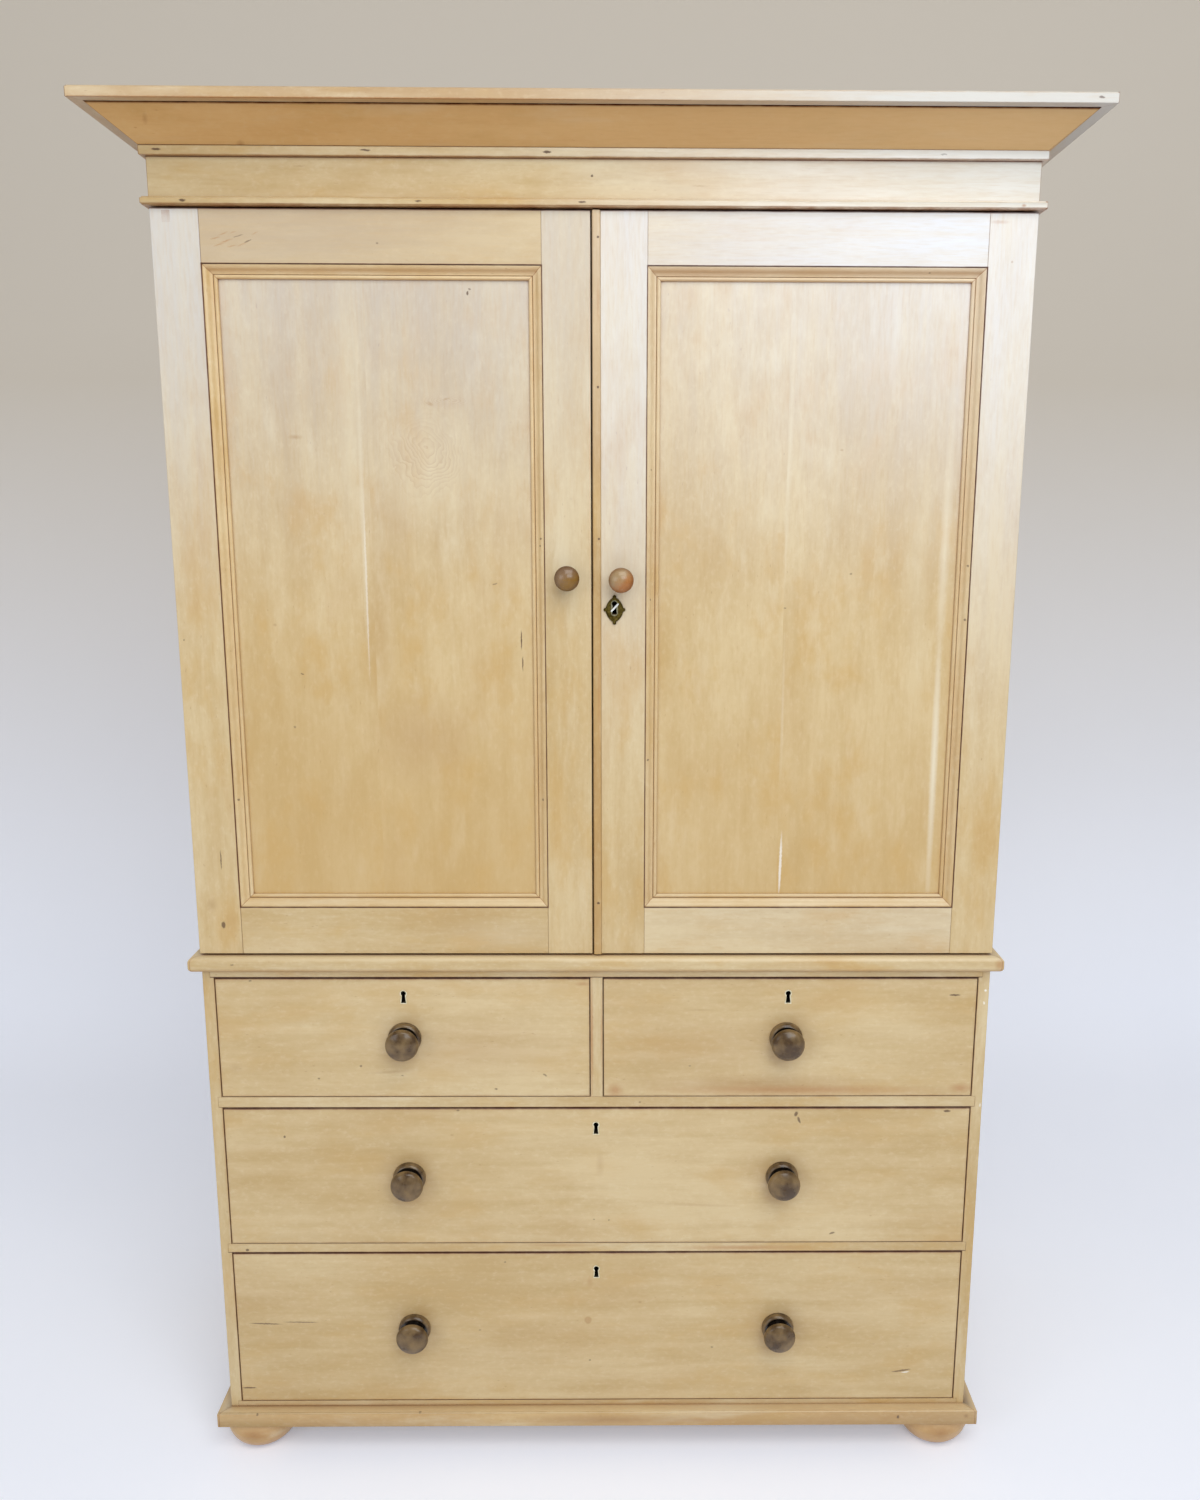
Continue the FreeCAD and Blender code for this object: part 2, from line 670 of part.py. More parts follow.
def make_drawer(name, low_x, high_x, floor, ceiling, knob_places, key_x, key_drop, kind):
    """One drawer in its opening: front, box, knobs, lock and lock bolt. Returns the bolt's mortise."""
    front_back = chest_front + size.drawer_thick
    side_height = ceiling - floor - size.drawer_headroom - size.drawer_lift
    side_floor = floor + size.drawer_lift
    lining = size.drawer_lining
    outer_low = low_x + size.drawer_slack
    outer_high = high_x - size.drawer_slack
    tails = DOVETAILS[kind]
    box_back = chest_front + size.drawer_length
    panel_low = side_floor + size.bottom_raise
    panel = board(name + "_bottom",
                  (outer_low + lining - size.bottom_groove, front_back - size.bottom_groove, panel_low),
                  (outer_high - lining + size.bottom_groove, box_back, panel_low + size.drawer_bottom))
    sides = [drawer_side(name + "_left_length", outer_low, side_floor, side_height, tails),
             drawer_side(name + "_right_length", outer_high - lining, side_floor, side_height, tails)]
    rear = board(name + "_rear", (outer_low + lining, box_back - lining, panel_low + size.drawer_bottom),
                 (outer_high - lining, box_back, side_floor + side_height - 8))
    grooved = [cut(side.Name.replace("_length", "_side"), side, [panel]) for side in sides]
    node(name + "_box", group(name + "_box", grooved + [rear, panel]))

    face = (0, chest_front, 0)
    key_level = ceiling - key_drop
    rim = size.rim_width
    hole = keyhole_outline(size.keyhole_round, size.keyhole_slot, size.keyhole_splay, size.keyhole_height)
    rim_outline = keyhole_outline(size.keyhole_round + rim, size.keyhole_slot + rim, size.keyhole_splay,
                                  size.keyhole_height + 2 * rim)
    key_at = (key_x, face[1], key_level)
    hole_cutter = keyhole_cutter(name + "_keyhole", key_at, hole, size.drawer_thick)
    rim_cutter = keyhole_cutter(name + "_rim_length", key_at, rim_outline, size.rim_depth)

    handles = []
    holes = []
    for number, (knob_x, knob_z) in enumerate(knob_places, start=1):
        at = (knob_x, chest_front, knob_z)
        handles.append(knob("%s_knob_%d" % (name, number), at, size.drawer_knob_radius, size.drawer_knob_rose,
                            size.drawer_knob_reach, size.drawer_knob_radius * 0.42))
        holes.append(spigot_hole("%s_knob_hole_%d" % (name, number), at))
    blank = board(name + "_blank", (low_x + size.drawer_gap, chest_front, floor + size.drawer_gap),
                  (high_x - size.drawer_gap, front_back, ceiling - size.drawer_gap))
    node(name + "_front", cut(name + "_front", blank, sides + [panel, hole_cutter, rim_cutter] + holes))
    knobs_label = name + ("_knob" if len(handles) == 1 else "_knobs")
    node(knobs_label, group(knobs_label, handles))

    lock_top = ceiling - size.drawer_gap
    half_lock = size.lock_width / 2
    half_bolt = size.bolt_width / 2
    bolt_y = front_back + (size.lock_depth - size.bolt_thick) / 2
    bolt = board(name + "_lock_bolt", (key_x - half_bolt, bolt_y, lock_top - size.bolt_height),
                 (key_x + half_bolt, bolt_y + size.bolt_thick, lock_top))
    case = board(name + "_case", (key_x - half_lock, front_back, lock_top - size.lock_height),
                 (key_x + half_lock, front_back + size.lock_depth, lock_top))
    fit = size.bolt_fit
    slot = board(name + "_slot", (key_x - half_bolt - fit, bolt_y - fit, lock_top - size.bolt_height - fit),
                 (key_x + half_bolt + fit, bolt_y + size.bolt_thick + fit, lock_top + 1))
    lock_hole = keyhole_cutter(name + "_lock_keyhole", (key_x, front_back, key_level), hole, size.lock_depth)
    lock_case = cut(name + "_lock_case", case, [slot, lock_hole])
    keyhole_rim = cut(name + "_keyhole_rim", rim_cutter, [hole_cutter])
    node(name + "_lock", group(name + "_lock", [lock_case, keyhole_rim]))
    node(name + "_lock_bolt", bolt)

    room = size.mortise_room
    return board(name + "_mortise", (key_x - half_bolt - room, bolt_y - room, ceiling - 1),
                 (key_x + half_bolt + room, bolt_y + size.bolt_thick + room,
                  lock_top + size.bolt_throw + room))


def make_drawers():
    """The four drawers. Returns the mortises that their lock bolts need in the rails above them."""
    short_floor = size.upper_rail_level + size.upper_rail_thick
    half_divider = size.divider_thick / 2
    shift = size.drawer_knob_shift
    left_x = shift - size.drawer_knob_x
    right_x = shift + size.drawer_knob_x
    short_middle = (short_floor + size.top_rail_level) / 2
    long_floors = {"lower": size.bottom_top, "upper": size.lower_rail_level + size.lower_rail_thick}
    long_tops = {"lower": size.lower_rail_level, "upper": size.upper_rail_level}
    left_end = size.divider_shift - half_divider
    right_end = size.divider_shift + half_divider
    level = short_middle - 0.4
    mortises = {"top": [
        make_drawer("left_short_drawer", -inner_half, left_end, short_floor, size.top_rail_level,
                    [(left_x, level)], left_x, size.short_keyhole_drop, "short"),
        make_drawer("right_short_drawer", right_end, inner_half, short_floor, size.top_rail_level,
                    [(right_x, level)], right_x + 1.7, size.short_keyhole_drop, "short"),
    ]}
    for place_name in ("upper", "lower"):
        floor = long_floors[place_name]
        ceiling = long_tops[place_name]
        level = (floor + ceiling) / 2 - 1.6
        mortises[place_name] = [
            make_drawer(place_name + "_long_drawer", -inner_half, inner_half, floor, ceiling,
                        [(left_x, level), (right_x, level)], size.keyhole_shift, size.long_keyhole_drop,
                        "long")]
    return mortises


# --------------------------------------------------------------------------------------------- cupboard
def make_cupboard(bolt_socket):
    floor_top = cupboard_bottom + size.bottom_thick
    floor = board("cupboard_floor", (-housed_half, cupboard_front, cupboard_bottom),
                  (housed_half, back_boards_front, floor_top))
    top = board("cupboard_top_board", (-housed_half, cupboard_front, cornice_bottom - size.bottom_thick),
                (housed_half, back_boards_front, cornice_bottom))
    rebate = rebate_for_back("cupboard_rebate", cupboard_bottom, cornice_bottom)
    return floor, cut("cupboard_top", top, [bolt_socket]), [floor, top, rebate]


def make_cupboard_sides(housed, hinge_seats):
    for side in (LEFT, RIGHT):
        name = "cupboard_side_" + SIDE_NAMES[side]
        node(name, side_board(name, side, cupboard_front, cupboard_bottom, cornice_bottom,
                              housed + hinge_seats[side]))


def make_shelves():
    shelves = []
    shelf_front = cupboard_front + size.shelf_setback
    for number, level in enumerate(SHELF_LEVELS, start=1):
        shelves.append(board("shelf_%d" % number, (-inner_half, shelf_front, level),
                             (inner_half, back_boards_front, Dim.of(level) + size.bottom_thick)))
        for side in (LEFT, RIGHT):
            low_x, high_x = across(side, inner_half - size.batten_width, inner_half)
            shelves.append(board("%s_batten_%d" % (SIDE_NAMES[side], number),
                                 (low_x, shelf_front, level - size.batten_height),
                                 (high_x, back_boards_front, level)))
    node("shelves", group("shelves", shelves))
    node("cupboard_back", back_panel("cupboard_back", cupboard_bottom, cornice_bottom))


# ----------------------------------------------------------------------------------------------- hinges
def hinge_levels():
    """The lower ends of the two hinges of a door."""
    return (size.door_bottom + size.hinge_inset, size.door_top - size.hinge_inset - size.hinge_length)


def make_hinge(name, side, level):
    """One butt hinge about the outer back corner of a door: case leaf with its pin, and door leaf."""
    axis_x = (half_width + size.pin_out) * side
    axis_y = (door_back + cupboard_front) / 2
    pitch = size.hinge_length / KNUCKLES
    pin = rod(name + "_pin", (axis_x, axis_y, level - 1.5), size.pin_radius, size.hinge_length + 3)
    leaves = {}
    for leaf, first in (("case", 0), ("door", 1)):
        pieces = []
        for number in range(first, KNUCKLES, 2):
            low = level + pitch * number
            gap = size.knuckle_gap / 2
            knuckle_x = across(side, half_width - size.leaf_width, half_width)
            plate_y = (cupboard_front, cupboard_front + size.leaf_thick) if leaf == "case" else (
                door_back - size.leaf_thick, door_back)
            pieces.append(rod("%s_%s_knuckle_%d" % (name, leaf, number), (axis_x, axis_y, low + gap),
                              size.knuckle_radius, pitch - 2 * gap))
            pieces.append(board("%s_%s_tab_%d" % (name, leaf, number), (knuckle_x[0], plate_y[0], low + gap),
                                (knuckle_x[1], plate_y[1], low + pitch - gap)))
        inner_edge = half_width + size.pin_out - size.knuckle_radius - size.knuckle_room
        plate_x = across(side, half_width - size.leaf_width, inner_edge)
        pieces.append(board("%s_%s_plate" % (name, leaf), (plate_x[0], plate_y[0], level),
                            (plate_x[1], plate_y[1], level + size.hinge_length)))
        bore = rod("%s_%s_bore" % (name, leaf), (axis_x, axis_y, level - 2),
                   size.pin_radius + (size.pin_fit if leaf == "door" else 0), size.hinge_length + 4)
        leaves[leaf] = cut("%s_%s_leaf" % (name, leaf), fuse("%s_%s_metal" % (name, leaf), pieces), [bore])
    room = rod(name + "_room", (axis_x, axis_y, level - 2), size.knuckle_radius + size.knuckle_room,
               size.hinge_length + 4)
    return leaves, pin, room


def make_hinges():
    """Both doors' hinges. Returns the seats to cut in each door's hinge stile and each cupboard side."""
    case_pieces = []
    seats = {}
    for side in (LEFT, RIGHT):
        door_leaves = []
        seats[side] = []
        for number, level in enumerate(hinge_levels(), start=1):
            name = "%s_hinge_%d" % (SIDE_NAMES[side], number)
            leaves, pin, room = make_hinge(name, side, level)
            case_pieces += [leaves["case"], pin]
            door_leaves.append(leaves["door"])
            seats[side] += [leaves["case"], leaves["door"], room]
        node(SIDE_NAMES[side] + "_door_hinge_leaves",
             group(SIDE_NAMES[side] + "_door_hinge_leaves", door_leaves))
    node("hinge_case_leaves", group("hinge_case_leaves", case_pieces))
    return seats


# ------------------------------------------------------------------------------------------------ doors
def panel_moulding(name, low_x, high_x, low_z, high_z):
    """Four mitred lengths round a door's opening, planted on the panel against the frame."""
    width = size.moulding_width
    height = size.moulding_height
    profile = [
        (0, 0),
        (width, 0),
        (width, 1.6),
        (width - 2.8, 4.6, 2.9),
        (width - 5.6, 1.8, 2.9),
        (width - 6.1, 2.9),
        (width - 11.6, 5.9, -8),
        (2, height, 8),
        (0, height),
    ]
    corners = {
        "lower": ((low_x, low_z), 0, high_x - low_x),
        "right": ((high_x, low_z), -90, high_z - low_z),
        "upper": ((high_x, high_z), 180, high_x - low_x),
        "left": ((low_x, high_z), 90, high_z - low_z),
    }
    lengths = []
    for place_name, ((x, z), angle, length) in corners.items():
        piece = "%s_%s" % (name, place_name)
        body = padded(piece, "YZ_Plane", profile, length)
        waste = [[(0, 0), (width, width), (0, width)],
                 [(length, 0), (length, width), (length - width, width)]]
        pocketed(body, "XY_Plane", waste, piece + "_mitres")
        spin = turned(0, 1, 0, angle).multiply(FACING_FRONT)
        lengths.append(place(body, (x, door_front + size.panel_setback, z), spin))
    return group(name, lengths)


def make_door(side, low_x, high_x, hinge_seats, meeting_stile, meeting_tools, face_holes):
    """One framed and panelled door between two X positions."""
    name = SIDE_NAMES[side] + "_door"
    stile_widths = (size.hinge_stile, meeting_stile) if side == LEFT else (meeting_stile, size.hinge_stile)
    opening_low = low_x + stile_widths[0]
    opening_high = high_x - stile_widths[1]
    opening_bottom = size.door_bottom + size.door_bottom_rail
    opening_top = size.door_top - size.door_top_rail
    panel_y = door_front + size.panel_setback
    tenon_y = (panel_y, panel_y + size.panel_thick)

    groove = size.panel_groove
    groove_block = board(name + "_groove", (opening_low - groove, tenon_y[0], opening_bottom - groove),
                         (opening_high + groove, tenon_y[1], opening_top + groove))
    slip = groove - size.panel_play
    node(name + "_panel", board(name + "_panel", (opening_low - slip, tenon_y[0], opening_bottom - slip),
                                (opening_high + slip, tenon_y[1], opening_top + slip)))

    rails = []
    for rail_name, low_z, high_z in (("top", opening_top, size.door_top),
                                     ("bottom", size.door_bottom, opening_bottom)):
        inner_low = low_z + (groove if rail_name == "top" else size.tenon_shoulder)
        inner_high = high_z - (groove if rail_name == "bottom" else size.tenon_shoulder)
        plank = board("%s_%s_plank" % (name, rail_name), (opening_low, door_front, low_z),
                      (opening_high, door_back, high_z))
        tenons = board("%s_%s_tenons" % (name, rail_name),
                       (opening_low - size.tenon_length, tenon_y[0], inner_low),
                       (opening_high + size.tenon_length, tenon_y[1], inner_high))
        solid = fuse("%s_%s_joined" % (name, rail_name), [plank, tenons])
        rails.append(cut("%s_%s_rail" % (name, rail_name), solid, [groove_block]))
    node(name + "_rails", group(name + "_rails", rails))

    stiles = []
    for stile_name, start, end in (("left", low_x, opening_low), ("right", opening_high, high_x)):
        plank = board("%s_%s_plank" % (name, stile_name), (start, door_front, size.door_bottom),
                      (end, door_back, size.door_top))
        on_hinge_side = (stile_name == "left") == (side == LEFT)
        extra = hinge_seats if on_hinge_side else meeting_tools + face_holes
        stiles.append(cut("%s_%s_stile" % (name, stile_name), plank, [groove_block] + rails + extra))
    node(name + "_stiles", group(name + "_stiles", stiles))
    node(name + "_moulding", panel_moulding(name + "_moulding", opening_low, opening_high,
                                            opening_bottom, opening_top))


def make_door_knob(side, x, level):
    name = SIDE_NAMES[side] + "_door_knob"
    at = (x, door_front, level)
    node(name, knob(name, at, size.door_knob_radius, size.door_knob_radius * 0.72, size.door_knob_reach,
                    size.door_knob_radius * 0.5))
    return spigot_hole(name + "_hole", at)


def make_escutcheon(x):
    """A pointed oval plate with a small finial on each of its four sides and a keyhole in the middle."""
    half_tall = size.plate_height / 2
    half_wide = size.plate_width / 2
    bow = size.plate_height * 0.62
    outline = [(0, -half_tall, bow), (half_wide, 0, bow), (0, half_tall, bow), (-half_wide, 0, bow)]
    at = (x, door_front, size.plate_level)
    plate = place(padded("escutcheon_plate", "XY_Plane", outline, size.plate_thick), at, FACING_FRONT)
    finials = []
    tips = ((-half_wide, 0), (half_wide, 0), (0, -half_tall), (0, half_tall))
    for number, (shift_x, shift_z) in enumerate(tips, start=1):
        tip = (x + shift_x, door_front, size.plate_level + shift_z)
        finials.append(rod("escutcheon_finial_%d" % number, tip, size.finial_radius, size.plate_thick + 0.6,
                           FACING_FRONT))
    outline = keyhole_outline(size.keyhole_round, size.keyhole_slot, size.keyhole_splay, size.keyhole_height)
    hole_at = (x, door_front - size.plate_thick, size.plate_level + size.plate_keyhole_rise)
    hole = keyhole_cutter("escutcheon_keyhole", hole_at, outline, size.plate_thick + size.door_thick)
    node("door_escutcheon", cut("door_escutcheon", fuse("escutcheon_metal", [plate] + finials), [hole]))
    return hole


def make_door_lock(meeting_edge, key_x):
    """A rim lock on the back of the right door. Its bolt slides behind the left door."""
    half_case = size.rim_lock_height / 2
    half_bolt = size.rim_bolt_height / 2
    level = size.plate_level
    case_low = (meeting_edge + 1, door_back, level - half_case)
    case = board("door_lock_block", case_low,
                 (meeting_edge + 1 + size.rim_lock_width, door_back + size.lock_depth, level + half_case))
    bolt_y = door_back + (size.lock_depth - size.bolt_thick) / 2
    bolt = board("door_lock_bolt", (meeting_edge + 1, bolt_y, level - half_bolt),
                 (meeting_edge + 1 + size.rim_bolt_length, bolt_y + size.bolt_thick, level + half_bolt))
    fit = size.bolt_fit
    slot = board("door_lock_slot", (meeting_edge, bolt_y - fit, level - half_bolt - fit),
                 (meeting_edge + 1 + size.rim_bolt_length + fit, bolt_y + size.bolt_thick + fit,
                  level + half_bolt + fit))
    outline = keyhole_outline(size.keyhole_round, size.keyhole_slot, size.keyhole_splay, size.keyhole_height)
    hole = keyhole_cutter("door_lock_keyhole", (key_x, door_back, level + size.plate_keyhole_rise), outline,
                          size.lock_depth)
    node("door_lock_case", cut("door_lock_case", case, [slot, hole]))
    node("door_lock_bolt", bolt)


def make_slide_bolt(x):
    """The left door's bolt: a rod in two staples on a plate. Returns its mortise in the cupboard top."""
    rod_top = cornice_bottom - size.bottom_thick - size.slide_bolt_drop
    rod_low = rod_top - size.slide_bolt_length
    radius = size.slide_bolt_radius
    rod_y = door_back + size.slide_plate_thick + radius + size.slide_bolt_stand
    plate_low = rod_low + 14
    half_plate = size.slide_plate_width / 2
    plate = board("slide_bolt_plate", (x - half_plate, door_back, plate_low),
                  (x + half_plate, door_back + size.slide_plate_thick, plate_low + size.slide_plate_length))
    staples = []
    for number, level in enumerate((plate_low + 8, plate_low + size.slide_plate_length - 22), start=1):
        staples.append(board("slide_bolt_staple_%d" % number, (x - radius - 2, door_back, level),
                             (x + radius + 2, rod_y + radius + 2, level + 14)))
    bore = rod("slide_bolt_bore", (x, rod_y, plate_low - 1), radius + size.pin_fit,
               size.slide_plate_length + 2)
    metal = fuse("slide_bolt_metal", [plate] + staples)
    node("left_door_bolt_plate", cut("left_door_bolt_plate", metal, [bore]))
    shaft = rod("slide_bolt_rod", (x, rod_y, rod_low), radius, size.slide_bolt_length)
    thumb = rod("slide_bolt_thumb", (x, rod_y, plate_low + size.slide_plate_length / 2), 3, 14,
                turned(1, 0, 0, -90))
    node("left_door_bolt", fuse("left_door_bolt", [shaft, thumb]))
    reach = radius + size.socket_room
    return board("slide_bolt_socket", (x - reach, rod_y - reach, rod_top),
                 (x + reach, rod_y + reach, rod_top + size.slide_bolt_throw + size.slide_bolt_drop))


def make_bead(meeting_edge):
    """A rounded bead planted in a rebate along the meeting edge of the right door."""
    width = size.bead_width
    depth = size.bead_rebate + size.bead_proud
    round_edge = size.bead_proud + 1
    outline = [
        (0, 0),
        (width, 0),
        (width, -(depth - round_edge)),
        (width - round_edge, -depth, -round_edge),
        (round_edge, -depth),
        (0, -(depth - round_edge), -round_edge),
    ]
    body = padded("meeting_bead", "XY_Plane", outline, size.door_top - size.door_bottom + size.bead_overhang)
    place(body, (meeting_edge, door_front + size.bead_rebate, size.door_bottom - size.bead_overhang))
    node("meeting_bead", body)
    return board("bead_rebate", (meeting_edge, door_front, size.door_bottom - 1),
                 (meeting_edge + width, door_front + size.bead_rebate, size.door_top + 1))


def make_doors(hinge_seats):
    """Both doors and what they carry. Returns the socket for the left door's bolt."""
    left_edge = size.meeting_x - size.door_gap / 2
    right_edge = size.meeting_x + size.door_gap / 2
    key_x = size.meeting_x + size.plate_x
    left_hole = make_door_knob(LEFT, size.meeting_x - size.door_knob_left, size.door_knob_level)
    right_hole = make_door_knob(RIGHT, size.meeting_x + size.door_knob_right,
                                size.door_knob_level - size.right_knob_drop)
    key_hole = make_escutcheon(key_x)
    rebate = make_bead(right_edge)
    make_door_lock(right_edge, key_x)
    make_door(LEFT, -half_width, left_edge, hinge_seats[LEFT], size.left_meeting_stile, [], [left_hole])
    make_door(RIGHT, right_edge, half_width, hinge_seats[RIGHT], size.right_meeting_stile, [rebate],
              [right_hole, key_hole])
    return make_slide_bolt(left_edge - size.left_meeting_stile / 2)


# ---------------------------------------------------------------------------------------------- cornice
def make_cornice():
    """The cornice, a box that stands on the cupboard: frieze, necking, fillet, raked boards and cap."""
    thick = size.frieze_thick
    frieze_profile = [(-thick, 0), (0, 0), (0, size.cornice_height), (-thick, size.cornice_height)]
    frieze = mitred_run("frieze", frieze_profile, 0, door_front, cornice_bottom)
    rear = board("frieze_back", (-half_width + thick, back - thick, cornice_bottom),
                 (half_width - thick, back, cornice_top))
    frieze.Links = frieze.Links + [rear]
    node("frieze", frieze)

    high = size.necking_height
    reach = size.necking_reach
    round_edge = high * 0.17
    necking = [(0, 0), (reach - round_edge, 0), (reach, round_edge, round_edge),
               (reach, high - 2), (reach - 2, high, 2), (0, high)]
    node("necking_moulding", mitred_run("necking_moulding", necking, reach, door_front, cornice_bottom))

    reach = size.fillet_reach
    fillet = [(0, 0), (reach, 0), (reach, size.fillet_height), (0, size.fillet_height)]
    fillet_level = cornice_bottom + size.fillet_rise
    node("cornice_fillet", mitred_run("cornice_fillet", fillet, reach, door_front, fillet_level))

    rake_level = fillet_level + size.fillet_height
    rise = cornice_top - rake_level
    slope = (size.rake_top - size.rake_foot) / rise
    rake = [(0, 0), (size.rake_foot, 0), (size.rake_top, rise), (size.rake_top - size.rake_thick, rise),
            (0, (size.rake_thick - size.rake_foot) / slope)]
    node("raked_cornice", mitred_run("raked_cornice", rake, size.rake_top, door_front, rake_level))

    reach = size.cap_reach
    width = size.cap_width
    edge = 1.5
    cap = [(reach - width, 0), (reach, 0), (reach, size.cap_thick - edge), (reach - edge, size.cap_thick, edge),
           (reach - width, size.cap_thick)]
    boards = mitred_run("cornice_cap", cap, reach, door_front, cornice_top)
    inner_x = half_width + reach - width
    dust_board = board("cornice_dust_board", (-inner_x, door_front - reach + width, cornice_top),
                       (inner_x, back, cornice_top + size.cap_thick))
    boards.Links = boards.Links + [dust_board]
    node("cornice_cap", boards)


# ------------------------------------------------------------------------------------------------ build
def check(item):
    """Raises unless a sub-part's shape is valid and holds at least one closed solid."""
    shape = item.Shape
    if shape.isNull() or not shape.isValid() or not shape.Solids or shape.Volume <= 0:
        raise ValueError("bad shape: " + item.Label)


def build():
    make_feet()
    make_base_moulding()
    make_chest(make_drawers())
    make_waist()
    hinge_seats = make_hinges()
    bolt_socket = make_doors(hinge_seats)
    floor, top, housed = make_cupboard(bolt_socket)
    node("cupboard_floor", floor)
    node("cupboard_top", top)
    make_cupboard_sides(housed, hinge_seats)
    make_shelves()
    make_cornice()
    doc.recompute()
    failed = [item.Label for item in doc.Objects if {"Invalid", "Error"} & set(item.State)]
    if failed:
        raise ValueError("failed objects: " + ", ".join(failed))
    for item in nodes:
        check(item)
    os.makedirs("parts", exist_ok=True)
    for item in nodes:
        item.Shape.exportStep("parts/%s.step" % item.Label)
    print(len(nodes), "sub-parts written")


build()
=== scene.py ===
import math

import bpy
from mathutils import Matrix, Vector


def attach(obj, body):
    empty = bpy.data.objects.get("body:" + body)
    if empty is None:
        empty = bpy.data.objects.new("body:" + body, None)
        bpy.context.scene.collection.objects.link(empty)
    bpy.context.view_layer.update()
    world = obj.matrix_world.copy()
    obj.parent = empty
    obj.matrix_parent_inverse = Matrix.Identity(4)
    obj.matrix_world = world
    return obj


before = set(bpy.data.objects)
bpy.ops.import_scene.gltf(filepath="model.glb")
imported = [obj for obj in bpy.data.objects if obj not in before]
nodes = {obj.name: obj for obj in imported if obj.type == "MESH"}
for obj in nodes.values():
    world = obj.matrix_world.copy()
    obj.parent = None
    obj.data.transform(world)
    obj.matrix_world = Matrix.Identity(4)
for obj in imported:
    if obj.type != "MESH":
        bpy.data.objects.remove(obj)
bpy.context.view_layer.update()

# Every CAD node of the linen press stays and gets its material, and some boards get eased arrises. The one new
# piece is a small near-white strip across the door's keyhole, a painted highlight.

# ------------------------------------------------------------------------------------ measures, in metres
# The press faces -Y. A face is the y of a front. A rectangle is (low x, low z, high x, high z).
MM = 0.001
FAR = 5  # outside the press on any side
HALF = 0.6  # half the width of the case
FACE = -0.246  # doors and frieze
CHEST_FACE = -0.243  # drawers, rails and sides
PANEL_FACE = -0.235
MOULDING_FACE = -0.2445
BEAD_FACE = -0.248
RAKE_FACE = -0.25
FILLET_FACE = -0.2532
NECKING_FACE = -0.2548
WAIST_FACE = -0.2585
BASE_FACE = -0.261
CAP_FACE = -0.317
FOOT_FACE = -0.2
LEFT_MEETING_EDGE = -0.0057  # where the left door ends
BEAD_EDGE = -0.0052  # and the right door's bead starts
DOOR_TOP = 1.9115
NECKING_FOOT = 1.9135
FRIEZE_TOP = 1.976
FILLET_TOP = 1.987
RAKE_TOP = 2.0265
OPENINGS = {"left": (-0.5348, 0.9287, -0.0737, 1.841), "right": (0.0708, 0.9287, 0.5348, 1.841)}
PATCH = (-0.584, 1.8932, -0.573, 1.9083)  # a piece let into the left door's outer stile
# Places are (x, z). A drawer has its front, the place of its keyhole and the places of its knobs.
DRAWERS = {
    "left_short_drawer": ((-0.5815, 0.6215, -0.012, 0.8145), (-0.2962, 0.7904), ((-0.2962, 0.7176),)),
    "right_short_drawer": ((0.009, 0.6215, 0.5815, 0.8145), (0.2921, 0.7904), ((0.2904, 0.7176),)),
    "upper_long_drawer": ((-0.5815, 0.3695, 0.5815, 0.6005), (-0.0028, 0.5728),
                          ((-0.2962, 0.4839), (0.2904, 0.4839))),
    "lower_long_drawer": ((-0.5815, 0.0855, 0.5815, 0.3515), (-0.0028, 0.3233),
                          ((-0.2962, 0.2172), (0.2904, 0.2172))),
}
LEFT_KNOB = (-0.0411, 1.4198)
RIGHT_KNOB = (0.0353, 1.4176)
DOOR_KEYHOLE = (0.0258, 1.383)
ESCUTCHEON = (0.0258, 1.3745, 0.0150, 0.0208)  # x, z, half width, half height


def edges(low_x=-FAR, low_z=-FAR, high_x=FAR, high_z=FAR):
    """A rectangle of which only the edges that are given cross the press."""
    return low_x, low_z, high_x, high_z


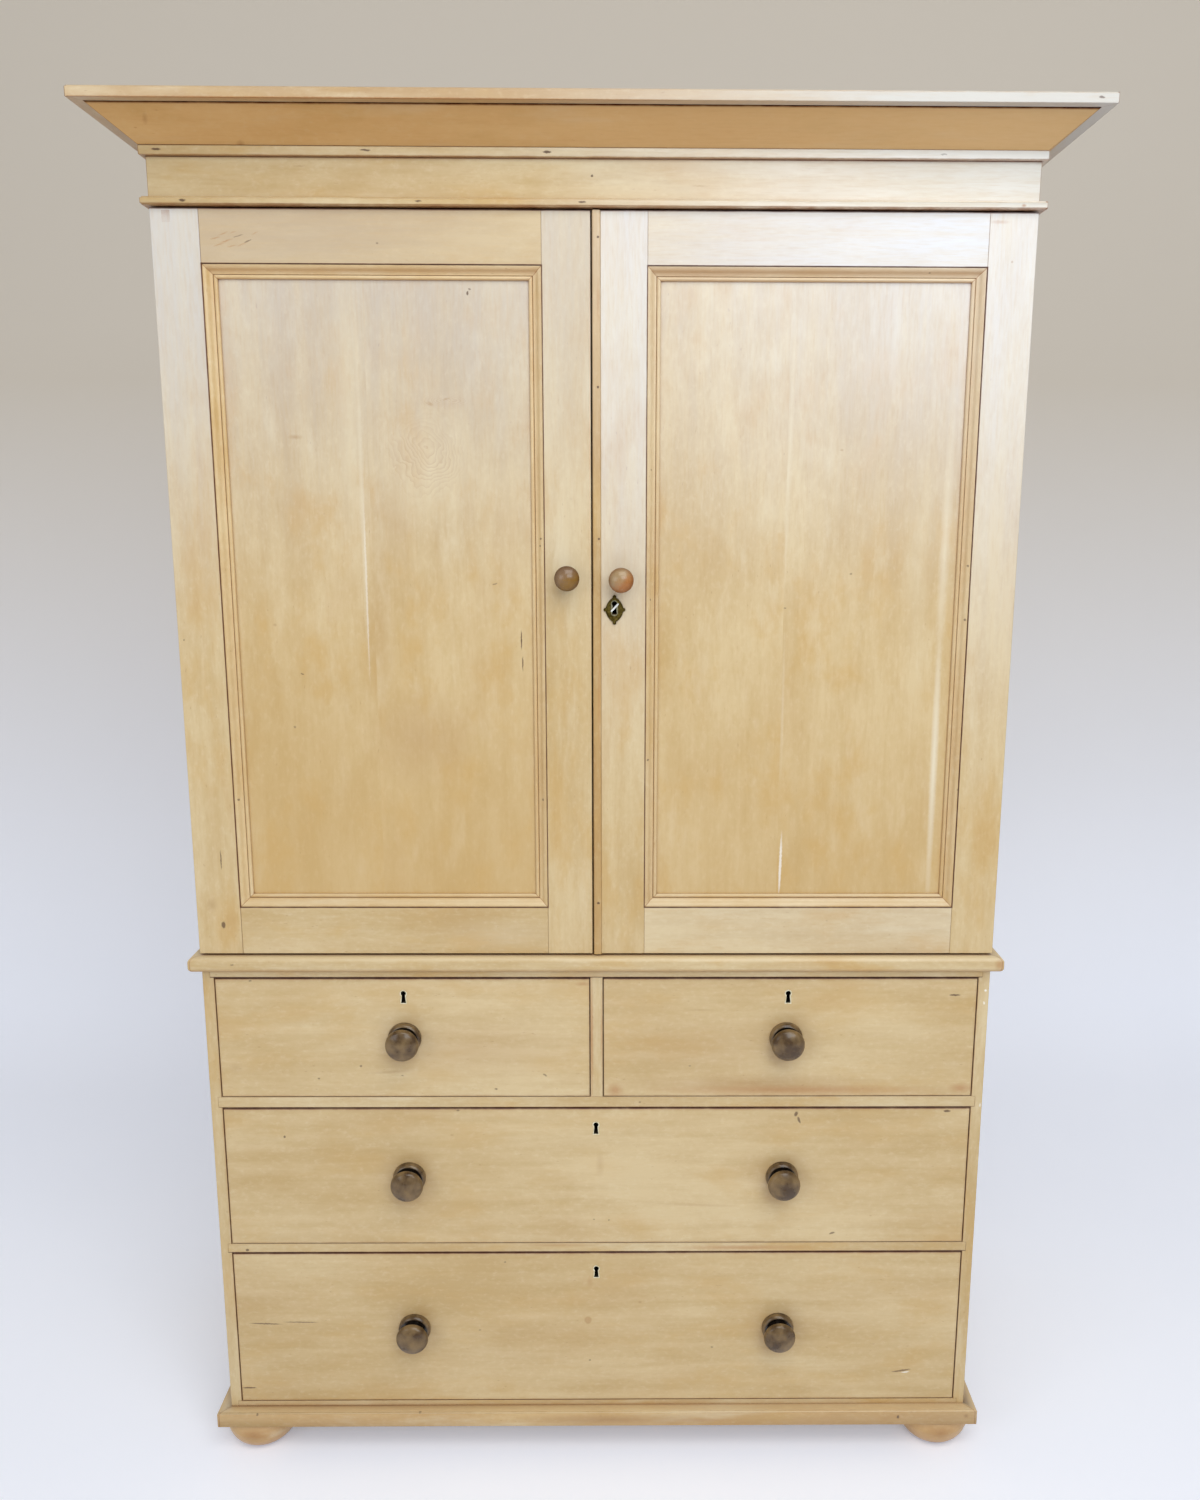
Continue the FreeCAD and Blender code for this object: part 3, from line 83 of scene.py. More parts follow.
# ---------------------------------------------------------------------------------------- shader graphs
class Graph:
    """A material whose shader nodes are written as nested calls."""

    def __init__(self, name):
        self.material = bpy.data.materials.new(name)
        self.material.use_nodes = True
        self.tree = self.material.node_tree
        self.tree.nodes.clear()

    def add(self, kind, inputs=None, **settings):
        made = self.tree.nodes.new(kind)
        for key, value in settings.items():
            setattr(made, key, value)
        for key, value in (inputs or {}).items():
            self.feed(made.inputs[key], value)
        return made

    def feed(self, socket, value):
        if isinstance(value, bpy.types.NodeSocket):
            self.tree.links.new(value, socket)
        elif hasattr(socket.default_value, "__len__") and not hasattr(value, "__len__"):
            socket.default_value = [value] * len(socket.default_value)
        else:
            socket.default_value = value

    def op(self, operation, a, b=0.0, c=0.0, clamp=False):
        made = self.add("ShaderNodeMath", operation=operation, use_clamp=clamp)
        for socket, value in zip(made.inputs, (a, b, c)):
            self.feed(socket, value)
        return made.outputs[0]

    def fold(self, operation, first, *others):
        for other in others:
            first = self.op(operation, first, other)
        return first

    def sum(self, *parts):
        return self.fold("ADD", *parts)

    def times(self, *parts):
        return self.fold("MULTIPLY", *parts)

    def minus(self, a, b):
        return self.op("SUBTRACT", a, b)

    def size(self, value):
        return self.op("ABSOLUTE", value)

    def vector(self, operation, *inputs, output="Vector"):
        return self.add("ShaderNodeVectorMath", dict(enumerate(inputs)), operation=operation).outputs[output]

    def split(self, vector):
        made = self.add("ShaderNodeSeparateXYZ", {0: vector})
        return made.outputs[0], made.outputs[1], made.outputs[2]

    def join(self, x, y, z):
        return self.add("ShaderNodeCombineXYZ", {0: x, 1: y, 2: z}).outputs[0]

    def blend(self, factor, a, b):
        """Two numbers mixed by a factor."""
        made = self.add("ShaderNodeMix", {"Factor": factor}, data_type="FLOAT")
        self.feed(made.inputs[2], a)
        self.feed(made.inputs[3], b)
        return made.outputs[0]

    def tint(self, factor, a, b):
        """Two colours mixed by a factor."""
        made = self.add("ShaderNodeMix", {"Factor": factor}, data_type="RGBA")
        self.feed(made.inputs[6], opaque(a))
        self.feed(made.inputs[7], opaque(b))
        return made.outputs[2]

    def scale(self, value, low, high, to_low=0.0, to_high=1.0, smooth=False):
        """A value between low and high moved to between to_low and to_high, and held there."""
        kind = "SMOOTHSTEP" if smooth else "LINEAR"
        inputs = {"Value": value, "From Min": low, "From Max": high, "To Min": to_low, "To Max": to_high}
        return self.add("ShaderNodeMapRange", inputs, interpolation_type=kind, clamp=True).outputs[0]

    def noise(self, vector, size=1.0, detail=3.0, rough=0.55, bend=0.0):
        inputs = {"Vector": vector, "Scale": size, "Detail": detail, "Roughness": rough, "Distortion": bend}
        return self.add("ShaderNodeTexNoise", inputs).outputs[0]

    def place(self):
        return self.add("ShaderNodeTexCoord").outputs["Object"]

    def moved(self, by):
        return self.add("ShaderNodeMapping", {0: self.place(), "Location": by}).outputs[0]

    def hollow(self, distance, samples):
        """1 in the open, towards 0 in corners and holes."""
        return self.add("ShaderNodeAmbientOcclusion", {"Distance": distance}, samples=samples).outputs["AO"]

    def spot(self, place, x, z, wide, high, angle):
        """1 at the middle of an ellipse on the front, falling to 0 at its edge."""
        inputs = {"Vector": place, "Location": (x, 0, z), "Rotation": (0, math.radians(angle), 0),
                  "Scale": (wide, 1000, high)}
        within = self.add("ShaderNodeMapping", inputs, vector_type="TEXTURE").outputs[0]
        return self.add("ShaderNodeTexGradient", {0: within}, gradient_type="SPHERICAL").outputs["Fac"]

    def outside(self, x, z, box):
        """Distance from a rectangle's outline, below 0 inside it."""
        low_x, low_z, high_x, high_z = box
        from_side = self.minus(self.size(self.minus(x, (low_x + high_x) / 2)), (high_x - low_x) / 2)
        from_end = self.minus(self.size(self.minus(z, (low_z + high_z) / 2)), (high_z - low_z) / 2)
        return self.op("MAXIMUM", from_side, from_end)

    def bump(self, height, distance, strength, normal=None):
        made = self.add("ShaderNodeBump", {"Height": height, "Distance": distance, "Strength": strength})
        if normal is not None:
            self.feed(made.inputs["Normal"], normal)
        return made.outputs[0]

    def finish(self, colour, rough, normal=None, **sockets):
        shader = self.add("ShaderNodeBsdfPrincipled", {"Base Color": colour, "Roughness": rough})
        for key, value in sockets.items():
            self.feed(shader.inputs[key.replace("_", " ")], value)
        if normal is not None:
            self.feed(shader.inputs["Normal"], normal)
        output = self.add("ShaderNodeOutputMaterial")
        self.tree.links.new(shader.outputs[0], output.inputs["Surface"])
        return self.material


def opaque(colour):
    return (*colour, 1.0) if isinstance(colour, tuple) and len(colour) == 3 else colour


def rgb(red, green, blue):
    """A colour as it looks on a screen, 0 to 255, as the light it stands for."""
    made = []
    for part in (red, green, blue):
        part /= 255
        made.append(part / 12.92 if part <= 0.04045 else ((part + 0.055) / 1.055) ** 2.4)
    return tuple(made)


# ---------------------------------------------------------------------------------------- marks of wear
def nail_holes(*places):
    """Small dark holes, each at (x, z, half width, half height)."""
    return tuple(("dark", *place, 0, 0.7) for place in places)


# The marks on each node: (kind, x, z, half width, half height, degrees clockwise, strength). These and the
# marks round the knobs are in millimetres, to the nearest tenth.
MARKS = {
    "cornice_cap": (
        ("rust", -350, 2026.2, 650, 1.9, 0, 0.85), ("dark", 648.2, 2033.3, 4.5, 1.8, 5, 0.8),
        ("dark", -419, 2023.3, 3.2, 1.2, 0, 0.7),
    ),
    "raked_cornice": (
        ("smudge", -471, 1987.9, 8.5, 4.9, -20, 0.8), ("smudge", -584, 2011.5, 3.9, 7.2, 35, 0.45),
    ),
    "cornice_fillet": (
        ("dark", -582.7, 1982.5, 7.3, 1.8, 2, 0.9), ("dark", -305.9, 1982.8, 8, 1.6, 3, 0.85),
        ("dark", -64.2, 1981.7, 6.7, 1.9, 0, 0.9), ("dark", 465.6, 1981.7, 5.4, 1.2, 0, 0.4),
    ),
    "necking_moulding": (
        ("dark", -552, 1918.9, 5.3, 1.9, 0, 0.9), ("dark", -237.3, 1919.4, 5.3, 1.5, 0, 0.8),
        ("dark", -17.9, 1919.3, 6, 1.6, 0, 0.85), ("rust", 576.4, 1918.1, 4, 2.5, 0, 0.7),
    ),
    "frieze": (
        ("dark", -4.6, 1954.2, 2, 1.9, 0, 0.9), ("smudge", -394.9, 1964.5, 10.7, 1.6, 0, 0.4),
        ("smudge", 140.6, 1942.4, 14.8, 1.3, 0, 0.35),
    ),
    "left_door_stiles": (
        ("dark", -561.8, 901, 3.7, 6.3, 0, 0.8), ("dark", -559.4, 1002.3, 1.2, 17, 0, 0.75),
        ("dark", -592.2, 1329.8, 1.4, 1.7, 0, 0.7), ("smudge", -577.1, 932.4, 10.5, 12.5, 0, 0.35),
    ),
    "left_door_rails": (
        ("pale", -140, 885, 110, 33, 0, 0.22), ("rust", -513.8, 1873.3, 8.7, 1.2, -12, 0.6),
        ("rust", -499.3, 1869.5, 11.4, 1.2, -18, 0.65), ("dark", -482.7, 1876, 8.1, 0.8, -14, 0.5),
        ("dark", -469.6, 1869.7, 6.7, 1, -20, 0.6), ("rust", -491.6, 1863.2, 8.1, 1.1, -10, 0.55),
        ("rust", -459.6, 1879.9, 5.7, 1.1, -25, 0.5), ("rust", -509, 1865, 10, 1.1, -15, 0.6),
        ("rust", -503, 1879, 9, 1.1, -20, 0.55), ("rust", -478, 1865.5, 9, 1.1, -22, 0.5),
        ("rust", -489, 1881, 6, 1.1, -16, 0.45), ("dark", -295.7, 1868, 2, 1.3, 0, 0.5),
    ),
    "left_door_panel": (
        ("dark", -176.2, 1806.3, 1.6, 3.3, 0, 0.85), ("dark", -173.3, 1811.5, 2.1, 1.3, 20, 0.6),
        ("dark", -108.9, 1329.8, 1.1, 15.9, 0, 0.95), ("dark", -107.5, 1294.8, 1, 12.4, 0, 0.85),
        ("dark", -145.8, 1410.1, 4.3, 1.3, -15, 0.5), ("dark", -427.8, 1279.6, 2.9, 1.2, 25, 0.6),
        ("smudge", -463.9, 1350.6, 3.6, 2.9, 0, 0.5), ("smudge", -422, 1613.7, 11.2, 4.1, 0, 0.5),
        ("smudge", -231.8, 1659.1, 6.3, 3.4, 20, 0.5), ("smudge", -209.3, 1665.9, 7, 2, -15, 0.45),
        ("pale", -331.5, 1530, 4, 270, 0.1, 0.36), ("white", -330, 1400, 1.6, 150, 0.1, 0.34),
        ("dark", -442.6, 1201.4, 2.2, 2.2, 0, 0.45), ("glow", -345, 1640, 26, 230, 0, 0.5),
        ("glow", -235, 1570, 70, 105, 8, 0.6), ("smudge", -313, 1350, 26, 150, 0, 0.16),
        ("smudge", -260, 1185, 90, 85, 0, 0.24),
    ),
    "right_door_panel": (
        ("pale", 272.9, 1593.8, 4.2, 230, 1.1, 0.32), ("pale", 272.4, 1240, 3, 130, -0.2, 0.24),
        ("white", 275.2, 992, 2.4, 56, 1.1, 0.7), ("pale", 499, 1150, 6.6, 250, -0.2, 0.8),
        ("pale", 499, 1470, 9, 230, 0.4, 0.5), ("glow", 462, 1420, 24, 240, 0, 0.4),
        ("dark", 365.6, 1425.8, 2.2, 1.7, 0, 0.5), ("dark", 272, 1376.9, 2.2, 1.4, 0, 0.5),
        ("smudge", 346.4, 1598.8, 3.5, 2.1, 0, 0.5),
    ),
    "right_door_stiles": (
        ("smudge", 567.5, 1848, 2.1, 1.9, 0, 0.6), ("rust", 547.9, 1899.1, 16.3, 3.2, 0, 0.35),
    ),
    "meeting_bead": (
        ("dark", 3.3, 1876.8, 2, 1.9, 0, 0.9), ("dark", 2.9, 1681.5, 2.1, 2, 0, 0.9),
        ("dark", 3.9, 1474.4, 2.1, 2.1, 0, 0.85), ("dark", 2, 936.2, 2.3, 2.4, 0, 0.9),
        ("rust", 3.2, 1795.8, 2.7, 38.9, 0, 0.4), ("rust", 3.4, 1244.1, 2.9, 88.1, 0, 0.35),
    ),
    "left_short_drawer_front": (
        ("dark", -365.2, 671.8, 2.3, 2.2, 0, 0.6), ("dark", -430.9, 651.1, 1.9, 1.7, 0, 0.6),
        ("dark", -301.8, 655.9, 2.3, 1.3, 0, 0.5), ("dark", -81.5, 656.5, 4.6, 1.5, 30, 0.6),
        ("dark", -157.7, 633.2, 3.1, 1.7, 0, 0.6), ("smudge", -161.7, 712, 4.6, 1.5, 0, 0.6),
        ("smudge", -520.5, 703.3, 3.1, 1.6, 0, 0.5), ("dark", -528.2, 810.7, 3, 1.6, 0, 0.6),
        ("rust", -22, 805.6, 15.2, 4, 0, 0.5), ("smudge", -320.9, 661.8, 46.3, 3.3, -4, 0.35),
        ("smudge", -557.8, 668.7, 12.3, 9.9, 0, 0.25), ("smudge", -200, 700, 200, 60, 0, 0.24),
    ),
    "right_short_drawer_front": (
        ("dark", 548, 787.4, 10, 1.6, 0, 0.85), ("rust", 314.7, 630.9, 263.7, 10, 0, 0.55),
        ("smudge", 240, 642, 230, 18, 0, 0.4), ("rust", 564.1, 633.9, 23.4, 10.1, 0, 0.6),
        ("rust", 26.9, 631.3, 16, 13.7, 0, 0.6), ("smudge", 157.2, 763.3, 30.7, 2.4, 0, 0.25),
        ("smudge", 170, 700, 200, 60, 0, 0.18), ("dark", 143, 671.2, 2.3, 1.7, 0, 0.4),
    ),
    "upper_long_drawer_front": (
        ("dark", 309.6, 590.5, 3.1, 5.1, 25, 0.8), ("dark", 314.6, 580.3, 2.3, 6.8, -20, 0.75),
        ("dark", 545.9, 595.2, 6.3, 2.5, 0, 0.8), ("dark", 373.1, 385, 5.6, 1.8, -20, 0.7),
        ("dark", -489.1, 553.3, 2.3, 2.5, 0, 0.75), ("dark", -217.5, 597.3, 3.1, 1.7, 0, 0.6),
        ("smudge", -227.9, 555.9, 3.9, 1.7, 0, 0.5), ("dark", -6.3, 409.8, 1.9, 1.7, 0, 0.5),
        ("dark", 17.5, 408.8, 1.9, 1.8, 0, 0.5), ("smudge", 3.4, 504.2, 7.9, 25.8, 0, 0.22),
        ("smudge", 161.8, 434.6, 71.4, 3.5, 2, 0.25),
    ),
    "lower_long_drawer_front": (
        ("dark", -535.8, 226, 28.9, 1.4, 2, 0.7), ("dark", -479.3, 228.5, 30.6, 1.3, 1, 0.6),
        ("dark", -569, 109, 13, 1.7, 0, 0.8), ("plug", -16.5, 230.8, 6.5, 7.3, 0, 0.8),
        ("dark", 494.8, 136.4, 18, 1.9, -9, 0.7), ("white", 501.5, 133.6, 8.2, 1.5, -9, 0.7),
        ("smudge", 67.4, 263.1, 4, 2.7, 0, 0.5), ("rust", -13.1, 299.2, 6.4, 12.5, 0, 0.3),
        ("dark", -13.6, 157.8, 2.4, 1.8, 0, 0.5), ("dark", 184.8, 180.9, 2.4, 1.8, 0, 0.45),
        ("dark", -191.3, 213.3, 2.4, 1.8, 0, 0.4), ("dark", -148.8, 335.3, 1.9, 1.8, 0, 0.5),
    ),
    "drawer_rails": (
        ("rust", 229.9, 359.9, 128, 5.3, 0, 0.55), ("dark", -557.9, 357.7, 3.2, 2.6, 0, 0.8),
        ("rust", -60.7, 365.1, 71.7, 2.6, 0, 0.35), ("dark", 65.8, 611.1, 2.3, 1.7, 0, 0.5),
    ),
    "drawer_divider": (
        ("rust", -8.8, 720, 3, 130, 0, 0.7), ("rust", 6.4, 730, 2.2, 80, 0, 0.4),
    ),
    "chest_side_right": (
        ("white", 594.4, 794.7, 2.3, 2.4, 0, 0.9), ("white", 593.3, 774.4, 1.5, 3.3, 0, 0.8),
        ("white", 597, 605.2, 1.6, 4.2, 0, 0.6),
    ),
    "base_moulding": (
        ("dark", -552.9, 73.2, 2.4, 2.4, 0, 0.6), ("dark", 489, 64.8, 2.5, 3.7, 0, 0.8),
        ("smudge", 600.2, 66.1, 4.9, 4.7, 0, 0.8), ("dark", -289.4, 75.7, 2.4, 1.9, 0, 0.5),
        ("rust", 165.8, 60.7, 48.9, 3.7, 0, 0.3), ("smudge", 20, 62, 170, 15, 0, 0.6),
    ),
    "waist_board": (
        ("dark", -548.6, 842.3, 3, 1.6, 0, 0.5), ("rust", 608.5, 841.5, 9, 11, 0, 0.55),
        ("rust", -55.9, 858, 45.1, 1.6, 0, 0.4),
    ),
    "left_door_moulding": nail_holes(
        (-471, 1830.3, 1.8, 1.7), (-443.1, 1831.7, 1.8, 1.7), (-273.6, 1830.7, 1.8, 1.7),
        (-524.7, 1761.4, 1.8, 1.7), (-526.3, 1554.9, 1.8, 1.8), (-526.3, 1313.9, 1.9, 1.9),
        (-82.7, 1747.1, 1.8, 1.7), (-91.3, 1576.3, 1.8, 1.8), (-78.9, 1474.5, 1.8, 1.8),
        (-80, 1464.3, 1.8, 1.8), (-82, 1444.7, 1.8, 1.8), (-83.6, 1275.6, 1.9, 1.9), (-529.2, 1093.6, 1.9, 2),
        (-79.7, 1094.1, 1.9, 2), (-445.5, 941.3, 1.9, 2), (-175.9, 941.3, 1.9, 2),
    ),
    "right_door_moulding": nail_holes(
        (125.9, 1830.7, 1.8, 1.7), (303.4, 1831.6, 1.8, 1.7), (456.5, 1833.6, 1.8, 1.7),
        (81.5, 1737.9, 1.8, 1.7), (78.4, 1570.1, 1.8, 1.8), (78.1, 1388.5, 1.9, 1.9), (536.3, 1639.7, 1.8, 1.8),
        (530.9, 1438, 1.9, 1.8), (530.9, 1361, 1.9, 1.9), (534.5, 1109.9, 1.9, 2), (75.2, 1154.6, 1.9, 1.9),
        (184.7, 939.8, 2, 2), (426, 939.9, 2, 2), (299.4, 1829, 1.8, 1.7),
    ),
    "bun_feet": (("smudge", -560, 35, 30, 16, 0, 0.7), ("smudge", 560, 35, 30, 16, 0, 0.7)),
}


def knob_grime_and_shadow(places):
    """Hand grime round each knob, and a painted shadow of the knob below it."""
    spots = ((-4, -26, 36, 34, 0.5), (0, -4, 58, 50, 0.3), (14, 24, 30, 22, 0.25))
    return tuple(("smudge", x / MM + side, z / MM + up, wide, high, 20, strength)
                 for x, z in places for side, up, wide, high, strength in spots)


# ------------------------------------------------------------------------------------------------- pine
PALE = rgb(219, 196, 152)
HONEY = rgb(198, 167, 114)
AMBER = rgb(180, 132, 74)
GOLD = rgb(204, 166, 102)
RUST = rgb(150, 88, 38)
UMBER = rgb(112, 50, 4)
PITCH = rgb(56, 20, 0)
TAN = rgb(132, 80, 26)
CREAM = rgb(229, 213, 178)
# Colours of painted sheen towards the top, and of painted shade on faces that look down.
SHEEN_WHITE = rgb(230, 232, 237)
FROST = rgb(210, 209, 208)
HAZE = rgb(207, 211, 219)
MILK = rgb(240, 237, 229)
UNDERSIDE_SHADE = rgb(190, 136, 74)
# The colour of each kind of mark, the part of it over which it fades in, and the most that it covers.
MARK_LOOK = {
    "dark": (rgb(78, 46, 22), 0.4, 0.95),
    "rust": (rgb(178, 118, 64), 0.8, 0.9),
    "smudge": (rgb(164, 116, 66), 1.0, 1.0),
    "pale": (rgb(238, 228, 204), 0.9, 0.85),
    "glow": (rgb(230, 216, 184), 1.0, 0.7),
    "white": (rgb(250, 246, 238), 0.5, 0.9),
    "plug": (rgb(176, 128, 76), 0.25, 0.6),
}
MARK_WOBBLE = 0.0022  # how far the edges of marks wander
MARK_DEPTH = 0.004  # behind this, a board has no marks
BOARD_STEP = 3.71  # parts the grain of the boards of one node
BOARD_MOVES = (1.37, 0.61, 0.43)  # how far one step goes along, across and through the grain
LONG_GRAIN = 0.07  # features longer than this are stretched where a board asks for it
PITH_APART = 0.31
PITH_DEPTH = 0.16
RING = 0.0042  # width of a growth ring
BOLD = 0.6  # joints stronger than this are umber with a core of pitch, and the others are tan
SHEEN_FROM = 1.93  # the painted sheen is palest from this level up, changes from left to right between these and fades towards the back between these
SHEEN_SIDES = (-0.3, 0.55)  # changes from left to right between these
SHEEN_DEPTHS = (-0.2, 0.0)  # and fades towards the back between these
GILT_LEVELS = (1.6, 0.95)  # gold grows stronger down the doors between these
KEYHOLE_BOX = (-0.0058, -0.0178, 0.0058, 0.0062)  # round a keyhole's place


def along(axis):
    """Grain along one axis: (along, across, through, distance from a mitre)."""

    def order(graph, x, y, z):
        return (*{"X": (x, z, y), "Y": (y, z, x), "Z": (z, x, y)}[axis], None)

    return order


def round_the_case(graph, x, y, z):
    """Grain along a run that is mitred at the front corners of the case."""
    side = graph.minus(graph.size(x), HALF)
    front = graph.minus(FACE, y)
    on_side = graph.op("GREATER_THAN", side, front)
    return graph.blend(on_side, x, y), z, graph.blend(on_side, y, x), graph.minus(side, front)


def round_an_opening(side):
    """Grain along four lengths mitred round a door's opening."""
    low_x, low_z, high_x, high_z = OPENINGS[side]

    def order(graph, x, y, z):
        from_upright = graph.op("MINIMUM", graph.minus(x, low_x), graph.minus(high_x, x))
        from_level = graph.op("MINIMUM", graph.minus(z, low_z), graph.minus(high_z, z))
        upright = graph.op("LESS_THAN", from_upright, from_level)
        mitre = graph.minus(from_upright, from_level)
        return graph.blend(upright, x, z), graph.blend(upright, z, x), y, mitre

    return order


class Board:
    """The grain of a node's boards: where it runs, and the noises that paint it."""

    def __init__(self, graph, order, seed, cuts, stretch):
        self.graph = graph
        self.stretch = stretch
        self.x, self.y, self.z = graph.split(graph.place())
        board = float(seed)
        for number, (axis, level) in enumerate(cuts, start=1):
            passed = graph.op("GREATER_THAN", {"X": self.x, "Y": self.y, "Z": self.z}[axis], level)
            board = graph.op("MULTIPLY_ADD", passed, BOARD_STEP * number, board)
        *grain, self.mitre = order(graph, self.x, self.y, self.z)
        self.u, self.v, self.w = (graph.op("MULTIPLY_ADD", board, by, part)
                                  for part, by in zip(grain, BOARD_MOVES))
        self.cloud = self.noise(0.46, 0.19, detail=2, rough=0.5)
        self.mottle = self.noise(0.085, 0.032, detail=4, rough=0.62)
        self.streaks = self.noise(0.30, 0.021, detail=3, rough=0.55, bend=0.3)
        self.speckle = self.noise(0.011, 0.0065, detail=3, rough=0.62)
        self.fibres = self.noise(0.03, 0.0032, detail=2, rough=0.6)
        self.flecks = self.noise(0.016, 0.0052, size=1.7, detail=1, rough=0.5)
        self.late = self.rings()

    def noise(self, length, width, **settings):
        """Noise whose features are about this long and wide."""
        length *= self.stretch if length > LONG_GRAIN else 1.0
        divided = (self.graph.op("DIVIDE", self.u, length), self.graph.op("DIVIDE", self.v, width),
                   self.graph.op("DIVIDE", self.w, width))
        return self.graph.noise(self.graph.join(*divided), **settings)

    def rings(self):
        """Late wood of growth rings about a pith behind the board, bent by slow noise."""
        graph = self.graph
        warp = graph.scale(self.noise(0.5, 0.3, detail=2), 0, 1, -0.12, 0.12)
        middle = graph.minus(graph.op("FRACT", graph.op("DIVIDE", self.v, PITH_APART)), 0.5)
        ring_v = graph.op("MULTIPLY_ADD", middle, PITH_APART, warp)
        ring_w = graph.sum(self.w, PITH_DEPTH)
        radius = graph.op("SQRT", graph.sum(graph.times(ring_v, ring_v), graph.times(ring_w, ring_w)))
        turn = graph.op("FRACT", graph.sum(graph.op("DIVIDE", radius, RING), graph.times(self.cloud, 2.2)))
        shown = graph.scale(self.noise(0.34, 0.16, size=1.1, detail=2), 0.5, 0.68, smooth=True)
        return graph.times(graph.scale(turn, 0.3, 1.0), graph.scale(turn, 1.0, 0.88), shown)

    def contours(self, x, z, wide, high, strength):
        """Nested pointed loops where the saw grazed a growth ring."""
        graph = self.graph
        wobble = graph.scale(self.noise(0.09, 0.05, detail=3), 0, 1, -0.5, 0.5)
        from_x = graph.op("DIVIDE", graph.minus(self.x, x), wide)
        from_z = graph.op("DIVIDE", graph.minus(self.z, z), high)
        reach = graph.op("SQRT", graph.sum(graph.times(from_x, from_x), graph.times(from_z, from_z)))
        turn = graph.op("FRACT", graph.times(graph.sum(reach, wobble), 9.0))
        lower = graph.scale(from_z, 0.5, -0.3, 0.25, 1.0)
        near = graph.scale(reach, 1.2, 0.35, 0.0, strength, smooth=True)
        return graph.times(graph.op("POWER", turn, 2.0), lower, near)

    def wood(self, pale, honey, tone, warmth, wash, figures):
        """The colour of clean wood."""
        graph = self.graph
        mix = graph.sum(graph.scale(self.cloud, 0.3, 0.7, tone - 0.42, tone + 0.42),
                        graph.scale(self.mottle, 0.3, 0.7, -0.2, 0.2),
                        graph.scale(self.streaks, 0.3, 0.7, -0.26, 0.26))
        mix = graph.op("ADD", mix, graph.scale(self.speckle, 0.25, 0.75, -0.14, 0.14), clamp=True)
        colour = graph.tint(mix, pale, honey)
        patches = self.noise(0.2, 0.075, size=1.2, detail=5, rough=0.6)
        colour = graph.tint(graph.scale(patches, 0.48, 0.72, 0.0, 0.75 * warmth, smooth=True), colour, GOLD)
        colour = graph.tint(graph.scale(patches, 0.62, 0.85, 0.0, 0.3 * warmth, smooth=True), colour, AMBER)
        washed = self.noise(0.26, 0.05, size=1.4, detail=4, rough=0.6)
        colour = graph.tint(graph.scale(washed, 0.52, 0.78, 0.0, wash, smooth=True), colour, CREAM)
        colour = graph.tint(graph.times(self.late, 0.2 * warmth), colour, AMBER)
        colour = graph.tint(graph.scale(self.fibres, 0.52, 0.8, 0.0, 0.17 * warmth), colour, AMBER)
        colour = graph.tint(graph.scale(self.speckle, 0.45, 0.2, 0.0, 0.22), colour, CREAM)
        colour = graph.tint(graph.scale(self.flecks, 0.74, 0.84, 0.0, 0.4), colour, RUST)
        for figure in figures:
            colour = graph.tint(self.contours(*figure), colour, AMBER)
        return colour

    def paint_sheen(self, colour, at_left, at_right, foot, sheen_colour):
        """Paler towards the top, more at one side, and less towards the back: a painted sheen of the window light
        on the polish.
        """
        graph = self.graph
        height = graph.scale(self.z, foot, SHEEN_FROM, smooth=True)
        place = graph.times(graph.scale(self.x, *SHEEN_SIDES, at_left, at_right),
                            graph.scale(self.y, *SHEEN_DEPTHS, 1.0, 0.35))
        uneven = graph.sum(graph.scale(self.cloud, 0.2, 0.75, 0.24, 0.44),
                           graph.scale(self.streaks, 0.32, 0.68, 0.26, 0.5),
                           graph.scale(self.fibres, 0.4, 0.7, 0.08, -0.08))
        return graph.tint(graph.times(height, place, uneven), colour, sheen_colour)

    def marked(self, colour, marks, face):
        """Nail holes, scratches, smears and pale streaks on the front of the board."""
        graph = self.graph
        wobble = graph.add("ShaderNodeTexNoise", {"Vector": graph.place(), "Scale": 260.0, "Detail": 2.0})
        wobble = graph.vector("SUBTRACT", wobble.outputs[1], (0.5,) * 3)
        moved = graph.vector("MULTIPLY_ADD", wobble, (MARK_WOBBLE,) * 3, graph.place())
        in_front = graph.op("LESS_THAN", self.y, face + MARK_DEPTH)
        for kind, (paint, fade, most) in MARK_LOOK.items():
            spots = []
            for _, *sizes, angle, strength in (mark for mark in marks if mark[0] == kind):
                spot = graph.spot(moved, *(size * MM for size in sizes), angle)
                spots.append(graph.scale(spot, 0.0, fade, 0.0, strength * most))
            if spots:
                colour = graph.tint(graph.times(graph.fold("MAXIMUM", *spots), in_front), colour, paint)
        return colour

    def lined(self, colour, joints, rub):
        """Dark lines in the joints, broken where the wood was rubbed: grime, and painted shade where a joint is a
        gap.
        """
        graph = self.graph
        for box, width, strength in joints:
            away = graph.size(graph.outside(self.x, self.z, box))
            line = graph.scale(away, width, width * 0.45)
            line = graph.times(line, graph.scale(rub, 0, 1, 0.55, 1.0), strength)
            colour = graph.tint(line, colour, UMBER if strength > BOLD else TAN)
            if strength > BOLD:
                core = graph.scale(away, width * 0.6, width * 0.3)
                core = graph.times(core, graph.scale(rub, 0, 1, 0.7, 1.0), strength)
                colour = graph.tint(core, colour, PITCH)
        if self.mitre is not None:
            colour = graph.tint(graph.scale(graph.size(self.mitre), 0.0009, 0.0003, 0.0, 0.6), colour, RUST)
        return colour


